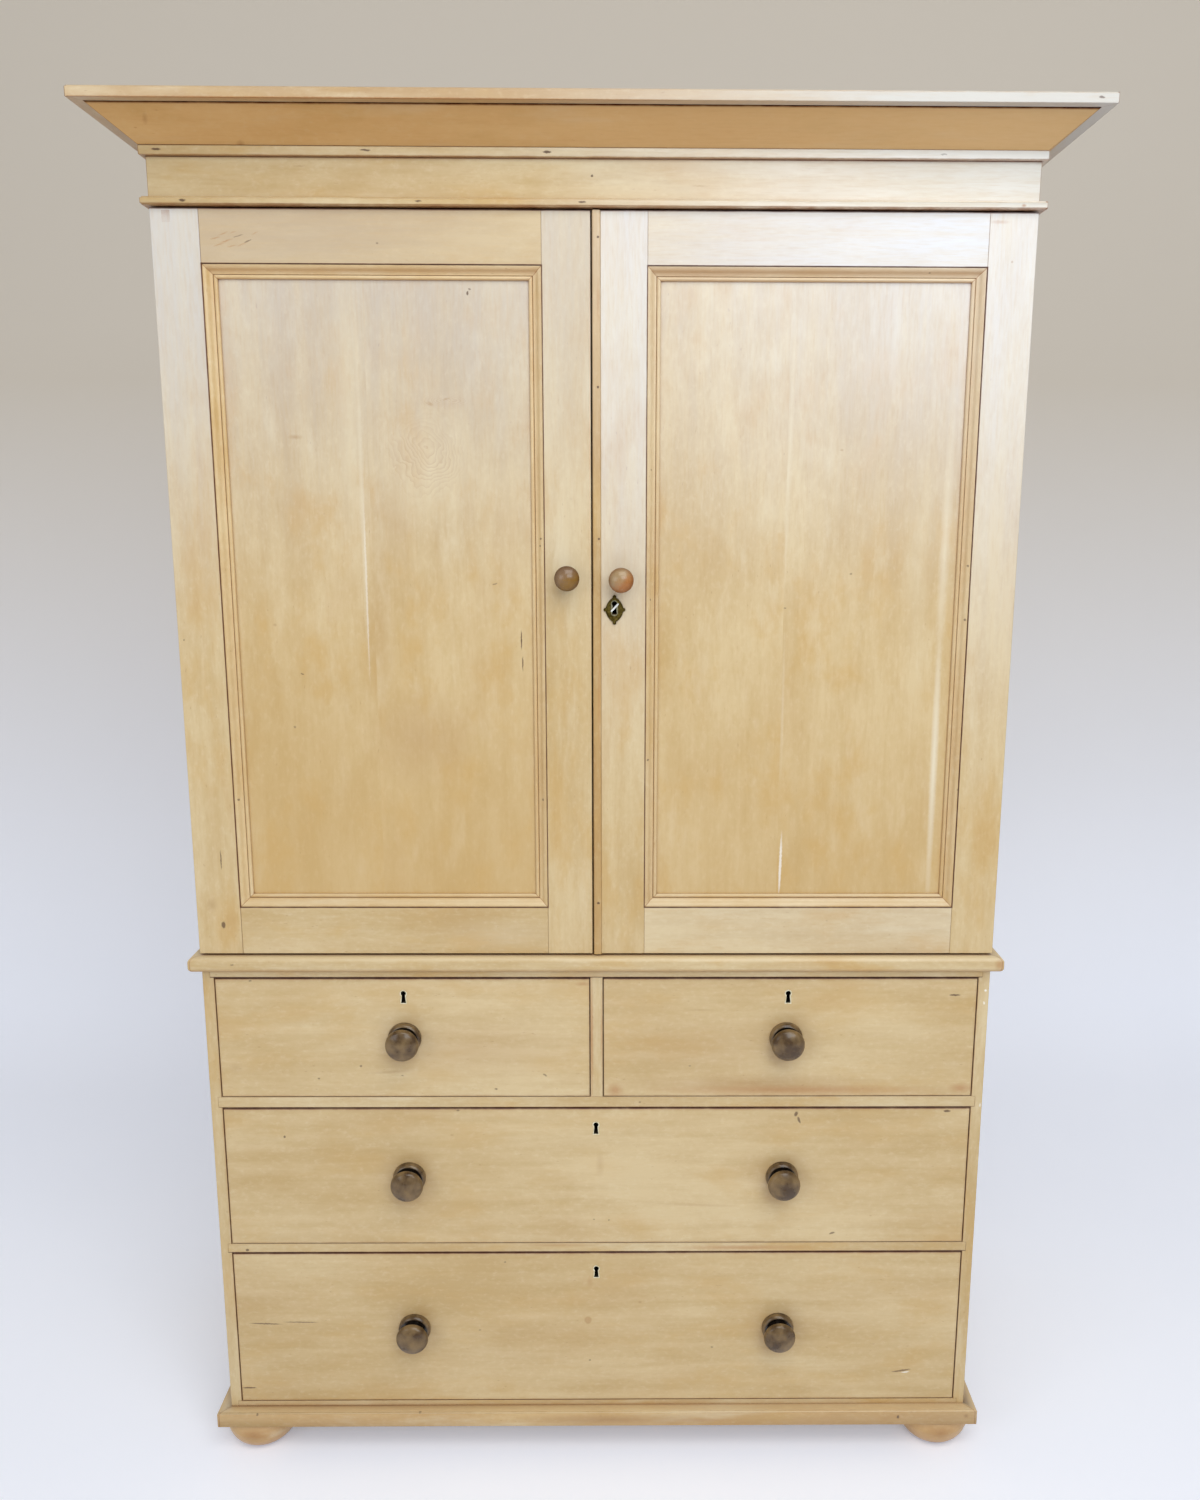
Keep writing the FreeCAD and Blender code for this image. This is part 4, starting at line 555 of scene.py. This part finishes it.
def shaded_keyholes(graph, colour, keyholes, front):
    """The inside of keyholes, painted black: a painted shade of the hole."""
    x, y, z = graph.split(graph.place())
    low_x, low_z, high_x, high_z = KEYHOLE_BOX
    for key_x, key_z in keyholes:
        box = (key_x + low_x, key_z + low_z, key_x + high_x, key_z + high_z)
        inside = graph.op("LESS_THAN", graph.outside(x, z, box), 0.0)
        inside = graph.times(inside, graph.op("GREATER_THAN", y, front), 0.97)
        colour = graph.tint(inside, colour, rgb(12, 7, 4))
    return colour


def pine(name, order, seed, pale=PALE, honey=HONEY, tone=0.5, warmth=1.0, wash=0.5, figures=(), cuts=(),
         stretch=1.0, gilt=0.0, bloom=None, under=0.5, dirt=1.0, rims=(), marks=(), joints=(), keyholes=(),
         face=FACE, matt=0.4, wax=0.35):
    """Waxed pine.

    pale, honey, tone: two colours, and how much of the second
    warmth, wash: amber in the grain, cream in patches
    figures: nested loops (x, z, half width, half height, strength)
    cuts: planes (axis, place) that part the boards of one node
    stretch: how much longer slow features are
    gilt: gold towards the foot of a door
    bloom: a painted sheen, paler towards the top (at the left, at the right, lowest z, colour)
    under, dirt: painted shade on faces that look down; grime on arrises, and grime with painted shade in corners
    and gaps
    rims: bands of wear just inside an outline (rectangle, width, strength)
    joints: dark lines on an outline, grime and painted shade of a gap (rectangle, half width, strength)
    face: the front, which carries the marks
    matt, wax: roughness, weight of the coat
    """
    graph = Graph(name)
    board = Board(graph, order, seed, cuts, stretch)
    colour = board.wood(pale, honey, tone, warmth, wash, figures)
    if gilt:
        # More golden towards the foot of the door.
        colour = graph.tint(graph.scale(board.z, *GILT_LEVELS, 0.0, gilt), colour, GOLD)
    # Painted sheen of the window light: paler towards the top and to one side, less towards the back (the left
    # door's rails take a darker tint there).
    if bloom:
        colour = board.paint_sheen(colour, *bloom)

    # Painted shade on faces that look down, painted light on faces that look up, and arrises darkened by wear in
    # places.
    rounded = graph.add("ShaderNodeBevel", {"Radius": 0.0014}, samples=4).outputs[0]
    flat = graph.add("ShaderNodeNewGeometry").outputs["Normal"]
    arris = graph.scale(graph.vector("DOT_PRODUCT", rounded, flat, output="Value"), 0.998, 0.90)
    _, _, rise = graph.split(flat)
    colour = graph.tint(graph.scale(rise, -0.12, -0.75, 0.0, under), colour, UNDERSIDE_SHADE)
    colour = graph.tint(graph.scale(rise, 0.2, 0.8, 0.0, 0.4), colour, CREAM)
    rub = graph.scale(graph.noise(graph.place(), size=31, detail=4, rough=0.65), 0.36, 0.64)
    colour = graph.tint(graph.times(arris, rub, 0.6 * dirt), colour, AMBER)
    for box, width, strength in rims:
        depth = graph.outside(board.x, board.z, box)
        band = graph.times(graph.scale(depth, -width, 0.0), graph.scale(rub, 0, 1, 0.25, 1.0),
                           graph.op("LESS_THAN", depth, 0.0001), strength)
        colour = graph.tint(band, colour, RUST)

    # Marks; dark lines in the joints, grime with painted shade of the gaps; and darkening in corners and gaps,
    # grime and old wax with painted shade.
    if marks:
        colour = board.marked(colour, marks, face)
    colour = board.lined(colour, joints, rub)
    hollow = graph.hollow(0.007, samples=6)
    colour = graph.tint(graph.scale(hollow, 0.72, 0.3, 0.0, 0.72 * dirt, smooth=True), colour, RUST)
    colour = graph.tint(graph.scale(hollow, 0.34, 0.1, 0.0, 0.92 * dirt, smooth=True), colour, UMBER)
    # Keyholes painted black inside, a painted shade.
    colour = shaded_keyholes(graph, colour, keyholes, face + 0.0008)

    rough = graph.sum(graph.scale(board.mottle, 0.3, 0.7, matt - 0.05, matt + 0.07),
                      graph.scale(board.fibres, 0.3, 0.8, 0.0, 0.05))
    height = graph.sum(graph.times(board.fibres, 0.35), graph.times(board.late, 0.25),
                       graph.times(board.streaks, 0.7), graph.times(board.speckle, 0.3))
    normal = graph.bump(height, 0.0006, 0.3, rounded)
    return graph.finish(colour, rough, normal, Specular_IOR_Level=1.2 * wax, Coat_Weight=wax, Coat_Roughness=0.34)


# --------------------------------------------------------------------------------------- other materials
DRAWER_HEAD = (0.0213, CHEST_FACE - 0.0213)
DOOR_HEAD = (0.0142, FACE - 0.0206)
DOOR_HEAD_EDGE = (0.0125, 0.0172)  # the radii between which a door knob's head is painted darker towards its rim, a painted shade
LATHE = 2600.0  # turning marks, in radians for each metre from the axis


def turned_wood(name, dark, light, seed, axes, head, groove_shade, lit_and_shaded=None, polish=0.24):
    """Polished turned wood. Axes are the places of the knobs. The head is (radius, y) of its back, and between
    rose and head the wood is painted dark, a painted shade with some old grime. Lit and shaded colours for a head
    are (upper colour, lower colour): painted light at its upper left, and painted shade towards its rim."""
    graph = Graph(name)
    x, y, z = graph.split(graph.place())
    spot = graph.moved((seed, seed * 0.7, 0))
    cloud = graph.noise(spot, size=42, detail=3, rough=0.5)
    along_axis = graph.add("ShaderNodeMapping", {0: spot, "Scale": (1, 0.15, 1)}).outputs[0]
    fine = graph.noise(along_axis, size=700, detail=2)
    rub = graph.noise(spot, size=120, detail=3, rough=0.6)
    from_axes = (graph.vector("DISTANCE", graph.join(x, 0, z), (axis_x, 0, axis_z), output="Value")
                 for axis_x, axis_z in axes)
    radius = graph.fold("MINIMUM", *from_axes)
    colour = graph.tint(graph.scale(cloud, 0.3, 0.7, smooth=True), dark, light)
    # A door knob's head: painted light at its upper left, more orange at its lower right, and painted shade
    # towards its rim.
    if lit_and_shaded is not None:
        axis_x, axis_z = axes[0]
        fall = graph.sum(graph.times(graph.minus(x, axis_x), 0.6), graph.times(graph.minus(axis_z, z), 0.8),
                         graph.scale(rub, 0.2, 0.8, -0.006, 0.006))
        colour = graph.tint(0.72, colour, graph.tint(graph.scale(fall, -0.008, 0.01, smooth=True), *lit_and_shaded))
        colour = graph.tint(graph.scale(radius, *DOOR_HEAD_EDGE, 0, 0.62), colour, dark)
    turning = graph.op("SINE", graph.times(radius, LATHE))
    colour = graph.tint(graph.scale(turning, 0.3, 1.0, 0, 0.14), colour, dark)
    colour = graph.tint(graph.scale(fine, 0.5, 0.8, 0, 0.25), colour, dark)
    colour = graph.tint(graph.scale(rub, 0.58, 0.75, 0, 0.25), colour, light)
    # Painted shade, with some old grime, between rose and head and in the hollows.
    reach, depth = head
    sunk = graph.times(graph.scale(radius, reach + 0.0008, reach - 0.0004),
                       graph.scale(y, depth - 0.0004, depth + 0.0006), 0.96)
    colour = graph.tint(sunk, colour, groove_shade)
    colour = graph.tint(graph.scale(graph.hollow(0.012, samples=6), 0.7, 0.25, 0, 0.85), colour, groove_shade)
    rough = graph.scale(cloud, 0.3, 0.7, polish, polish + 0.12)
    height = graph.sum(fine, graph.times(turning, 0.25))
    normal = graph.bump(height, 0.0003, 0.25)
    return graph.finish(colour, rough, normal, Specular_IOR_Level=0.25, Coat_Weight=0.45, Coat_Roughness=0.14)


def metal(name, bright, dull, seed, rough=0.42, plate=None, keyholes=(), front=0.0, metallic=1.0):
    """Worn metal. The plate is (x, z, half width, half height) of one that is tarnished towards its edge and
    rubbed bright round its keyhole."""
    graph = Graph(name)
    spot = graph.moved((seed, 0, seed))
    cloud = graph.noise(spot, size=160, detail=5, rough=0.65)
    pits = graph.noise(spot, size=1500, detail=2)
    colour = graph.tint(graph.scale(cloud, 0.35, 0.68, smooth=True), dull, bright)
    colour = graph.tint(graph.scale(pits, 0.62, 0.8, 0, 0.6), colour, dull)
    if plate is not None:
        x, _, z = graph.split(graph.place())
        middle_x, middle_z, wide, high = plate
        out = graph.sum(graph.op("DIVIDE", graph.size(graph.minus(x, middle_x)), wide),
                        graph.op("DIVIDE", graph.size(graph.minus(z, middle_z)), high))
        colour = graph.tint(graph.scale(out, 0.8, 1.15, 0, 0.85), colour, rgb(40, 32, 12))
        key_x, key_z = keyholes[0]
        over = graph.minus(z, graph.op("MINIMUM", graph.op("MAXIMUM", z, key_z - 0.0125), key_z))
        away = graph.vector("LENGTH", graph.join(graph.minus(x, key_x), 0, over), output="Value")
        colour = graph.tint(graph.scale(away, 0.0053, 0.0044, 0, 0.6), colour, rgb(186, 182, 152))
    colour = graph.tint(graph.scale(graph.hollow(0.004, samples=4), 0.8, 0.3, 0, 0.8), colour, rgb(34, 26, 14))
    colour = shaded_keyholes(graph, colour, keyholes, front)
    finish = graph.scale(cloud, 0.3, 0.7, rough + 0.15, rough - 0.08)
    return graph.finish(colour, finish, graph.bump(pits, 0.0002, 0.3), Metallic=metallic)


# ------------------------------------------------------------------------------------ looks of the nodes
OVER_GAP = 0.0015  # the gap over a drawer front
SIDE_GAP = 0.001  # and at its sides and under it
WELD = 0.00002
SHARP = math.radians(50)
DOOR_LOOKS = {
    "left": {
        "stiles": dict(seed=3, cuts=(("X", -0.3),), tone=0.42, bloom=(0.92, -0.25, 1.25, FROST),
                       rims=((PATCH, 0.03, 0.5),)),
        "rails": dict(seed=12, tone=0.6, bloom=(0.95, -0.4, 1.5, rgb(190, 168, 140))),
        "panel": dict(seed=23, cuts=(("X", -0.32),), bloom=(0.50, 0.72, 1.3, HAZE), gilt=0.62,
                      figures=((-0.24, 1.6, 0.058, 0.075, 0.85), (-0.21, 1.664, 0.036, 0.013, 0.8))),
        "moulding": dict(pale=rgb(221, 193, 143), honey=rgb(202, 166, 112)),
    },
    "right": {
        "stiles": dict(seed=8, cuts=(("X", 0.3),), tone=0.36, bloom=(0.74, 0.80, 1.05, SHEEN_WHITE)),
        "rails": dict(seed=17, tone=0.3, bloom=(0.10, 1.08, 0.6, rgb(226, 228, 234))),
        "panel": dict(seed=28, cuts=(("X", 0.27),), bloom=(0.12, 0.78, 1.3, SHEEN_WHITE), gilt=0.48),
        "moulding": dict(pale=rgb(222, 197, 151), honey=rgb(204, 170, 120)),
    },
}


def dress(names, material):
    for name in names:
        slots = nodes[name].data.materials
        slots.clear()
        slots.append(material)


def dress_pine(node, name, order, seed, marks=(), **look):
    dress([node], pine("pine_" + name, order, seed, marks=MARKS.get(node, ()) + marks, **look))


def ease(names, width, steps=2):
    """Takes the sharp arrises off boards."""
    for name in names:
        node = nodes[name]
        node.modifiers.new("weld", "WELD").merge_threshold = WELD
        bevel = node.modifiers.new("ease", "BEVEL")
        bevel.width = width
        bevel.segments = steps
        bevel.limit_method = "ANGLE"
        bevel.angle_limit = SHARP
        node.modifiers.new("shade", "WEIGHTED_NORMAL").keep_sharp = False


def door_joints(side):
    """Dark lines round a door's opening, at the ends of its rails, over the doors and where they meet: grime in
    the joints, and painted shade of the gaps.
    """
    box = OPENINGS[side]
    if side == "left":
        rail_ends = ((edges(low_x=box[0]), 0.0008, 0.55), (edges(high_x=box[2]), 0.0007, 0.3))
    else:
        rail_ends = ((edges(high_x=box[2]), 0.0006, 0.28), (edges(low_x=box[0]), 0.0006, 0.22))
    return ((box, 0.0014, 0.9), *rail_ends, (edges(high_z=DOOR_TOP), 0.0022, 0.9),
            (edges(high_x=LEFT_MEETING_EDGE), 0.0030, 0.4))


def dress_doors():
    for side, looks in DOOR_LOOKS.items():
        door = side + "_door_"
        joints = door_joints(side)
        dress_pine(door + "stiles", side + "_stiles", along("Z"), gilt=0.14, dirt=0.35, joints=joints,
                   **looks["stiles"])
        dress_pine(door + "rails", side + "_rails", along("X"), cuts=(("Z", 1.38),), joints=joints,
                   **looks["rails"])
        dress_pine(door + "panel", side + "_panel", along("Z"), stretch=0.6, face=PANEL_FACE,
                   **looks["panel"])
        dress_pine(door + "moulding", side + "_moulding", round_an_opening(side), 31, tone=0.45, dirt=1.15,
                   bloom=(0.03, 0.3, 1.3, SHEEN_WHITE), joints=((OPENINGS[side], 0.0009, 0.9),), face=MOULDING_FACE,
                   **looks["moulding"])
    dress_pine("meeting_bead", "bead", along("Z"), 33, pale=rgb(202, 168, 112), honey=rgb(186, 146, 88),
               tone=0.6, dirt=0.1, bloom=(0.55, 0.55, 1.4, rgb(226, 212, 190)), face=BEAD_FACE,
               joints=((edges(low_x=BEAD_EDGE), 0.0018, 0.2),))


def dress_cornice():
    dress_pine("frieze", "frieze", round_the_case, 41, tone=0.62, bloom=(-0.35, 1.05, 1.3, MILK),
               joints=((edges(high_z=FRIEZE_TOP), 0.0018, 0.7),))
    dress_pine("necking_moulding", "necking", round_the_case, 42, tone=0.6, bloom=(-0.25, 1.15, 1.3, MILK),
               rims=((edges(low_z=NECKING_FOOT), 0.0034, 0.75),), face=NECKING_FACE)
    dress_pine("cornice_fillet", "fillet", round_the_case, 43, tone=0.6, bloom=(-0.2, 1.3, 1.3, MILK),
               rims=((edges(low_z=FRIEZE_TOP), 0.0022, 0.6),), face=FILLET_FACE)
    dress_pine("raked_cornice", "rake", round_the_case, 44, pale=rgb(236, 198, 140), honey=rgb(220, 176, 116),
               bloom=(0.05, 0.75, 1.3, rgb(248, 220, 172)), matt=0.5, wax=0.05, face=RAKE_FACE,
               joints=((edges(high_z=RAKE_TOP), 0.0026, 0.98), (edges(high_z=FILLET_TOP), 0.0012, 0.8)))
    dress_pine("cornice_cap", "cap", round_the_case, 45, pale=rgb(200, 170, 129), honey=rgb(186, 152, 109),
               warmth=0.7, bloom=(-0.45, 1.55, 1.3, rgb(204, 199, 190)), under=0.1, face=CAP_FACE)


def dress_chest():
    boxes = [box for box, _, _ in DRAWERS.values()]
    # Dark lines over, under and beside the drawers: painted shade of the gaps round them, with grime.
    over = tuple((edges(high_z=box[3] + OVER_GAP), 0.0020, 0.85) for box in boxes)
    under = tuple((edges(low_z=box[1] - SIDE_GAP), 0.0012, 0.2) for box in boxes)
    beside = tuple((edges(low_x=box[0] - SIDE_GAP, high_x=box[2] + SIDE_GAP), 0.0012, 0.5) for box in boxes)
    dress_pine("waist_board", "waist", round_the_case, 51, tone=0.55, face=WAIST_FACE)
    dress_pine("base_moulding", "base", round_the_case, 52, pale=rgb(219, 186, 131), honey=rgb(197, 156, 100),
               face=BASE_FACE)
    dress_pine("drawer_rails", "rails", along("X"), 53, cuts=(("Z", 0.45), ("Z", 0.7)), tone=0.55, dirt=0.4,
               joints=over[1:] + under[1:], face=CHEST_FACE)
    dress_pine("drawer_divider", "divider", along("Z"), 54, tone=0.4, dirt=0.4, joints=beside[:2],
               face=CHEST_FACE)
    for seed, name in enumerate(("chest_side_left", "chest_side_right"), start=61):
        dress_pine(name, name, along("Z"), seed, dirt=0.5, joints=beside[:3], face=CHEST_FACE)
    for seed, name in enumerate(("cupboard_side_left", "cupboard_side_right"), start=63):
        dress_pine(name, name, along("Z"), seed, dirt=0.5, face=CHEST_FACE)
    for seed, (drawer, (box, keyhole, knobs)) in zip(range(71, 83, 3), DRAWERS.items()):
        top, foot, sides = edges(high_z=box[3]), edges(low_z=box[1]), edges(low_x=box[0], high_x=box[2])
        dress_pine(drawer + "_front", drawer, along("X"), seed, pale=rgb(219, 194, 148),
                   tone=0.62 if drawer == "lower_long_drawer" else 0.45, warmth=0.6, wash=0.12, dirt=0.4,
                   rims=((box, 0.0034, 0.36), (top, 0.006, 0.3)),
                   joints=((top, 0.0019, 0.85), (foot, 0.0012, 0.2), (sides, 0.0012, 0.5)),
                   keyholes=(keyhole,), marks=knob_grime_and_shadow(knobs), face=CHEST_FACE)
    dress(["bun_feet"], pine("foot_pine", along("X"), 95, pale=rgb(212, 174, 120), honey=rgb(192, 146, 90),
                             warmth=1.4, marks=MARKS["bun_feet"], face=FOOT_FACE))


def dress_inside():
    raw = dict(pale=rgb(214, 190, 146), honey=rgb(196, 164, 116), matt=0.7)
    boards = ["chest_bottom", "cupboard_floor", "cupboard_top", "shelves"]
    dress(boards + [name for name in nodes if name.endswith("_box")], pine("raw_pine", along("X"), 91, **raw))
    dress(["drawer_runners"], pine("raw_runners", along("Y"), 92, **raw))
    dress(["chest_back", "cupboard_back"],
          pine("raw_backs", along("Z"), 93, pale=rgb(210, 184, 140), honey=rgb(190, 156, 108), matt=0.7))


def dress_fittings():
    places = [place for _, _, knobs in DRAWERS.values() for place in knobs]
    keyholes = [keyhole for _, keyhole, _ in DRAWERS.values()]
    dress([name for name in nodes if "drawer_knob" in name],
          turned_wood("drawer_knob_wood", rgb(72, 50, 24), rgb(132, 106, 68), 1, places, DRAWER_HEAD,
                      rgb(26, 18, 12)))
    dress(["left_door_knob"],
          turned_wood("left_knob_wood", rgb(84, 52, 24), rgb(164, 124, 70), 3, [LEFT_KNOB], DOOR_HEAD,
                      rgb(60, 32, 14), lit_and_shaded=(rgb(136, 108, 80), rgb(144, 102, 8)), polish=0.16))
    dress(["right_door_knob"],
          turned_wood("right_knob_wood", rgb(112, 66, 30), rgb(186, 150, 112), 5, [RIGHT_KNOB], DOOR_HEAD,
                      rgb(84, 44, 18), lit_and_shaded=(rgb(162, 138, 98), rgb(172, 98, 0)), polish=0.16))
    dress([name for name in nodes if "hinge" in name]
          + ["left_door_bolt", "left_door_bolt_plate", "door_lock_case"],
          metal("iron", rgb(120, 116, 110), rgb(60, 54, 48), 2))
    dress([name for name in nodes if name.endswith("_lock") or name.endswith("lock_bolt")],
          metal("brass", rgb(238, 228, 198), rgb(208, 194, 152), 4, keyholes=keyholes,
                front=CHEST_FACE + 0.0005, metallic=0.0))
    dress(["door_escutcheon"],
          metal("aged_brass", rgb(136, 116, 56), rgb(68, 54, 18), 6, rough=0.36, plate=ESCUTCHEON,
                keyholes=(DOOR_KEYHOLE,), front=FACE - 0.0008))


def make_keyhole_glint():
    """A painted highlight: a small near-white half-round strip with rounded ends across the door's keyhole, where
    a glint shows.
    """
    low, high = (0.0207, 1.3718), (0.0318, 1.3836)  # the places of its ends
    half, thick = 0.0014, 0.0007
    stations, rim = 17, 7
    slimmest = 0.05
    run = Vector((high[0] - low[0], 0, high[1] - low[1]))
    side = Vector((run.z, 0, -run.x)).normalized()
    back = FACE - 0.0016
    verts, faces = [], []
    for number in range(stations):
        part = number / (stations - 1)
        swell = max(slimmest, math.sqrt(max(0.0, 1 - (2 * part - 1) ** 8)))
        middle = Vector((low[0], back, low[1])) + run * part
        for step in range(rim):
            angle = math.pi * step / (rim - 1)
            verts.append(middle + side * (math.cos(angle) * half * swell)
                         + Vector((0, -math.sin(angle) * thick * swell, 0)))
    for number in range(stations - 1):
        row = number * rim
        for step in range(rim):
            after = (step + 1) % rim
            faces.append((row + step, row + after, row + rim + after, row + rim + step))
    faces.append(tuple(range(rim)))
    faces.append(tuple(reversed(range((stations - 1) * rim, stations * rim))))
    steel = metal("steel_glint", rgb(255, 254, 248), rgb(244, 242, 234), 9, rough=0.3, metallic=0.2)
    bar = make_mesh("keyhole_glint", verts, faces, steel)
    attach(bar, "right_door")


def make_mesh(name, verts, faces, material):
    mesh = bpy.data.meshes.new(name)
    mesh.from_pydata(verts, [], faces)
    mesh.materials.append(material)
    for polygon in mesh.polygons:
        polygon.use_smooth = True
    made = bpy.data.objects.new(name, mesh)
    bpy.context.scene.collection.objects.link(made)
    return made


dress_doors()
dress_cornice()
dress_chest()
dress_inside()
dress_fittings()
make_keyhole_glint()
ease([side + part for side in ("left_door_", "right_door_") for part in ("stiles", "rails")], 0.0006)
ease([drawer + "_front" for drawer in DRAWERS], 0.0009)
ease(["meeting_bead", "frieze", "drawer_rails", "drawer_divider", "chest_side_left", "chest_side_right"], 0.0006)
ease(["necking_moulding", "cornice_fillet", "waist_board"], 0.0010)
ease(["base_moulding"], 0.0032, 3)


# ------------------------------------------------------------------------------- floor, light and camera
def show_front_only(graph):
    """Leaves the back of a surface out, so that the press is also seen from behind its backdrop."""
    output = next(node for node in graph.tree.nodes if node.type == "OUTPUT_MATERIAL")
    painted = output.inputs["Surface"].links[0].from_socket
    behind = graph.add("ShaderNodeNewGeometry").outputs["Backfacing"]
    clear = graph.add("ShaderNodeBsdfTransparent").outputs[0]
    both = graph.add("ShaderNodeMixShader", {0: behind, 1: painted, 2: clear}).outputs[0]
    graph.tree.links.new(both, output.inputs["Surface"])


def make_room():
    """A pale floor that sweeps up behind the press."""
    graph = Graph("studio_paint")
    shade = graph.noise(graph.place(), size=1.6, detail=2)
    _, _, level = graph.split(graph.place())
    up_wall = graph.scale(level, 0.1, 1.9)
    floor = graph.tint(shade, rgb(235, 238, 247), rgb(241, 243, 250))
    paint = graph.tint(up_wall, floor, rgb(192, 184, 172))
    path = graph.add("ShaderNodeLightPath").outputs
    seen = graph.fold("MAXIMUM", *(path["Is %s Ray" % kind] for kind in ("Camera", "Glossy", "Transmission")))
    graph.finish(paint, 0.85, Emission_Color=graph.tint(up_wall, rgb(230, 234, 248), rgb(196, 184, 168)),
                 Emission_Strength=graph.times(seen, 0.24))
    show_front_only(graph)
    near, far, width, height, bend, steps = -4.5, 1.7, 5.0, 4.6, 0.7, 12
    line = [(near, 0.0), (far - bend, 0.0)]
    for step in range(1, steps + 1):
        angle = math.pi / 2 * step / steps
        line.append((far - bend + bend * math.sin(angle), bend - bend * math.cos(angle)))
    line.append((far, height))
    verts = [(x, y, z) for x in (-width, width) for y, z in line]
    count = len(line)
    faces = [(i, i + count, i + count + 1, i + 1) for i in range(count - 1)]
    make_mesh("studio_sweep", verts, faces, graph.material)


def make_light(name, place, target, size, power, colour):
    light = bpy.data.lights.new(name, "AREA")
    light.shape = "RECTANGLE"
    light.size, light.size_y = size
    light.energy = power
    light.color = colour
    lamp = bpy.data.objects.new(name, light)
    lamp.location = place
    lamp.rotation_euler = (Vector(target) - Vector(place)).to_track_quat("-Z", "Y").to_euler()
    bpy.context.scene.collection.objects.link(lamp)


def make_world(colour, strength):
    world = bpy.data.worlds.new("world")
    world.use_nodes = True
    background = world.node_tree.nodes["Background"]
    background.inputs["Color"].default_value = (*colour, 1)
    background.inputs["Strength"].default_value = strength
    bpy.context.scene.world = world


def make_camera():
    """A camera that looks slightly down, with the frame shifted to where the photograph's is."""
    pitch, yaw, roll = (math.radians(angle) for angle in (10.923, 0.563, 0.185))
    place = Vector((0.0346, -1.9734, 1.5032))
    forward = Vector((math.sin(yaw) * math.cos(pitch), math.cos(yaw) * math.cos(pitch), -math.sin(pitch)))
    level = Vector((math.cos(yaw), -math.sin(yaw), 0))
    upward = level.cross(forward)
    right = level * math.cos(roll) + upward * math.sin(roll)
    up = upward * math.cos(roll) - level * math.sin(roll)
    data = bpy.data.cameras.new("camera")
    data.sensor_width = 36
    data.lens = 28.8
    data.shift_x = -32 / 1500
    camera = bpy.data.objects.new("camera", data)
    turn = Matrix((right, up, -forward)).transposed().to_4x4()
    camera.matrix_world = Matrix.Translation(place) @ turn
    bpy.context.scene.collection.objects.link(camera)
    bpy.context.scene.camera = camera


make_room()
make_light("ceiling_light", (0.6, -2.2, 3.7), (0.1, -0.4, 0.8), (2.6, 1.6), 44, (1.0, 0.985, 0.95))
make_light("window_light", (1.35, -3.7, 2.75), (0.2, 0, 1.5), (2.4, 1.5), 50, (0.84, 0.92, 1.0))
make_light("left_light", (-2.6, -3.0, 2.0), (0, 0, 1.0), (1.8, 1.8), 21, (0.95, 0.975, 1.0))
make_world((0.93, 0.96, 1.0), 0.44)
make_camera()
bpy.context.scene.view_settings.view_transform = "Standard"
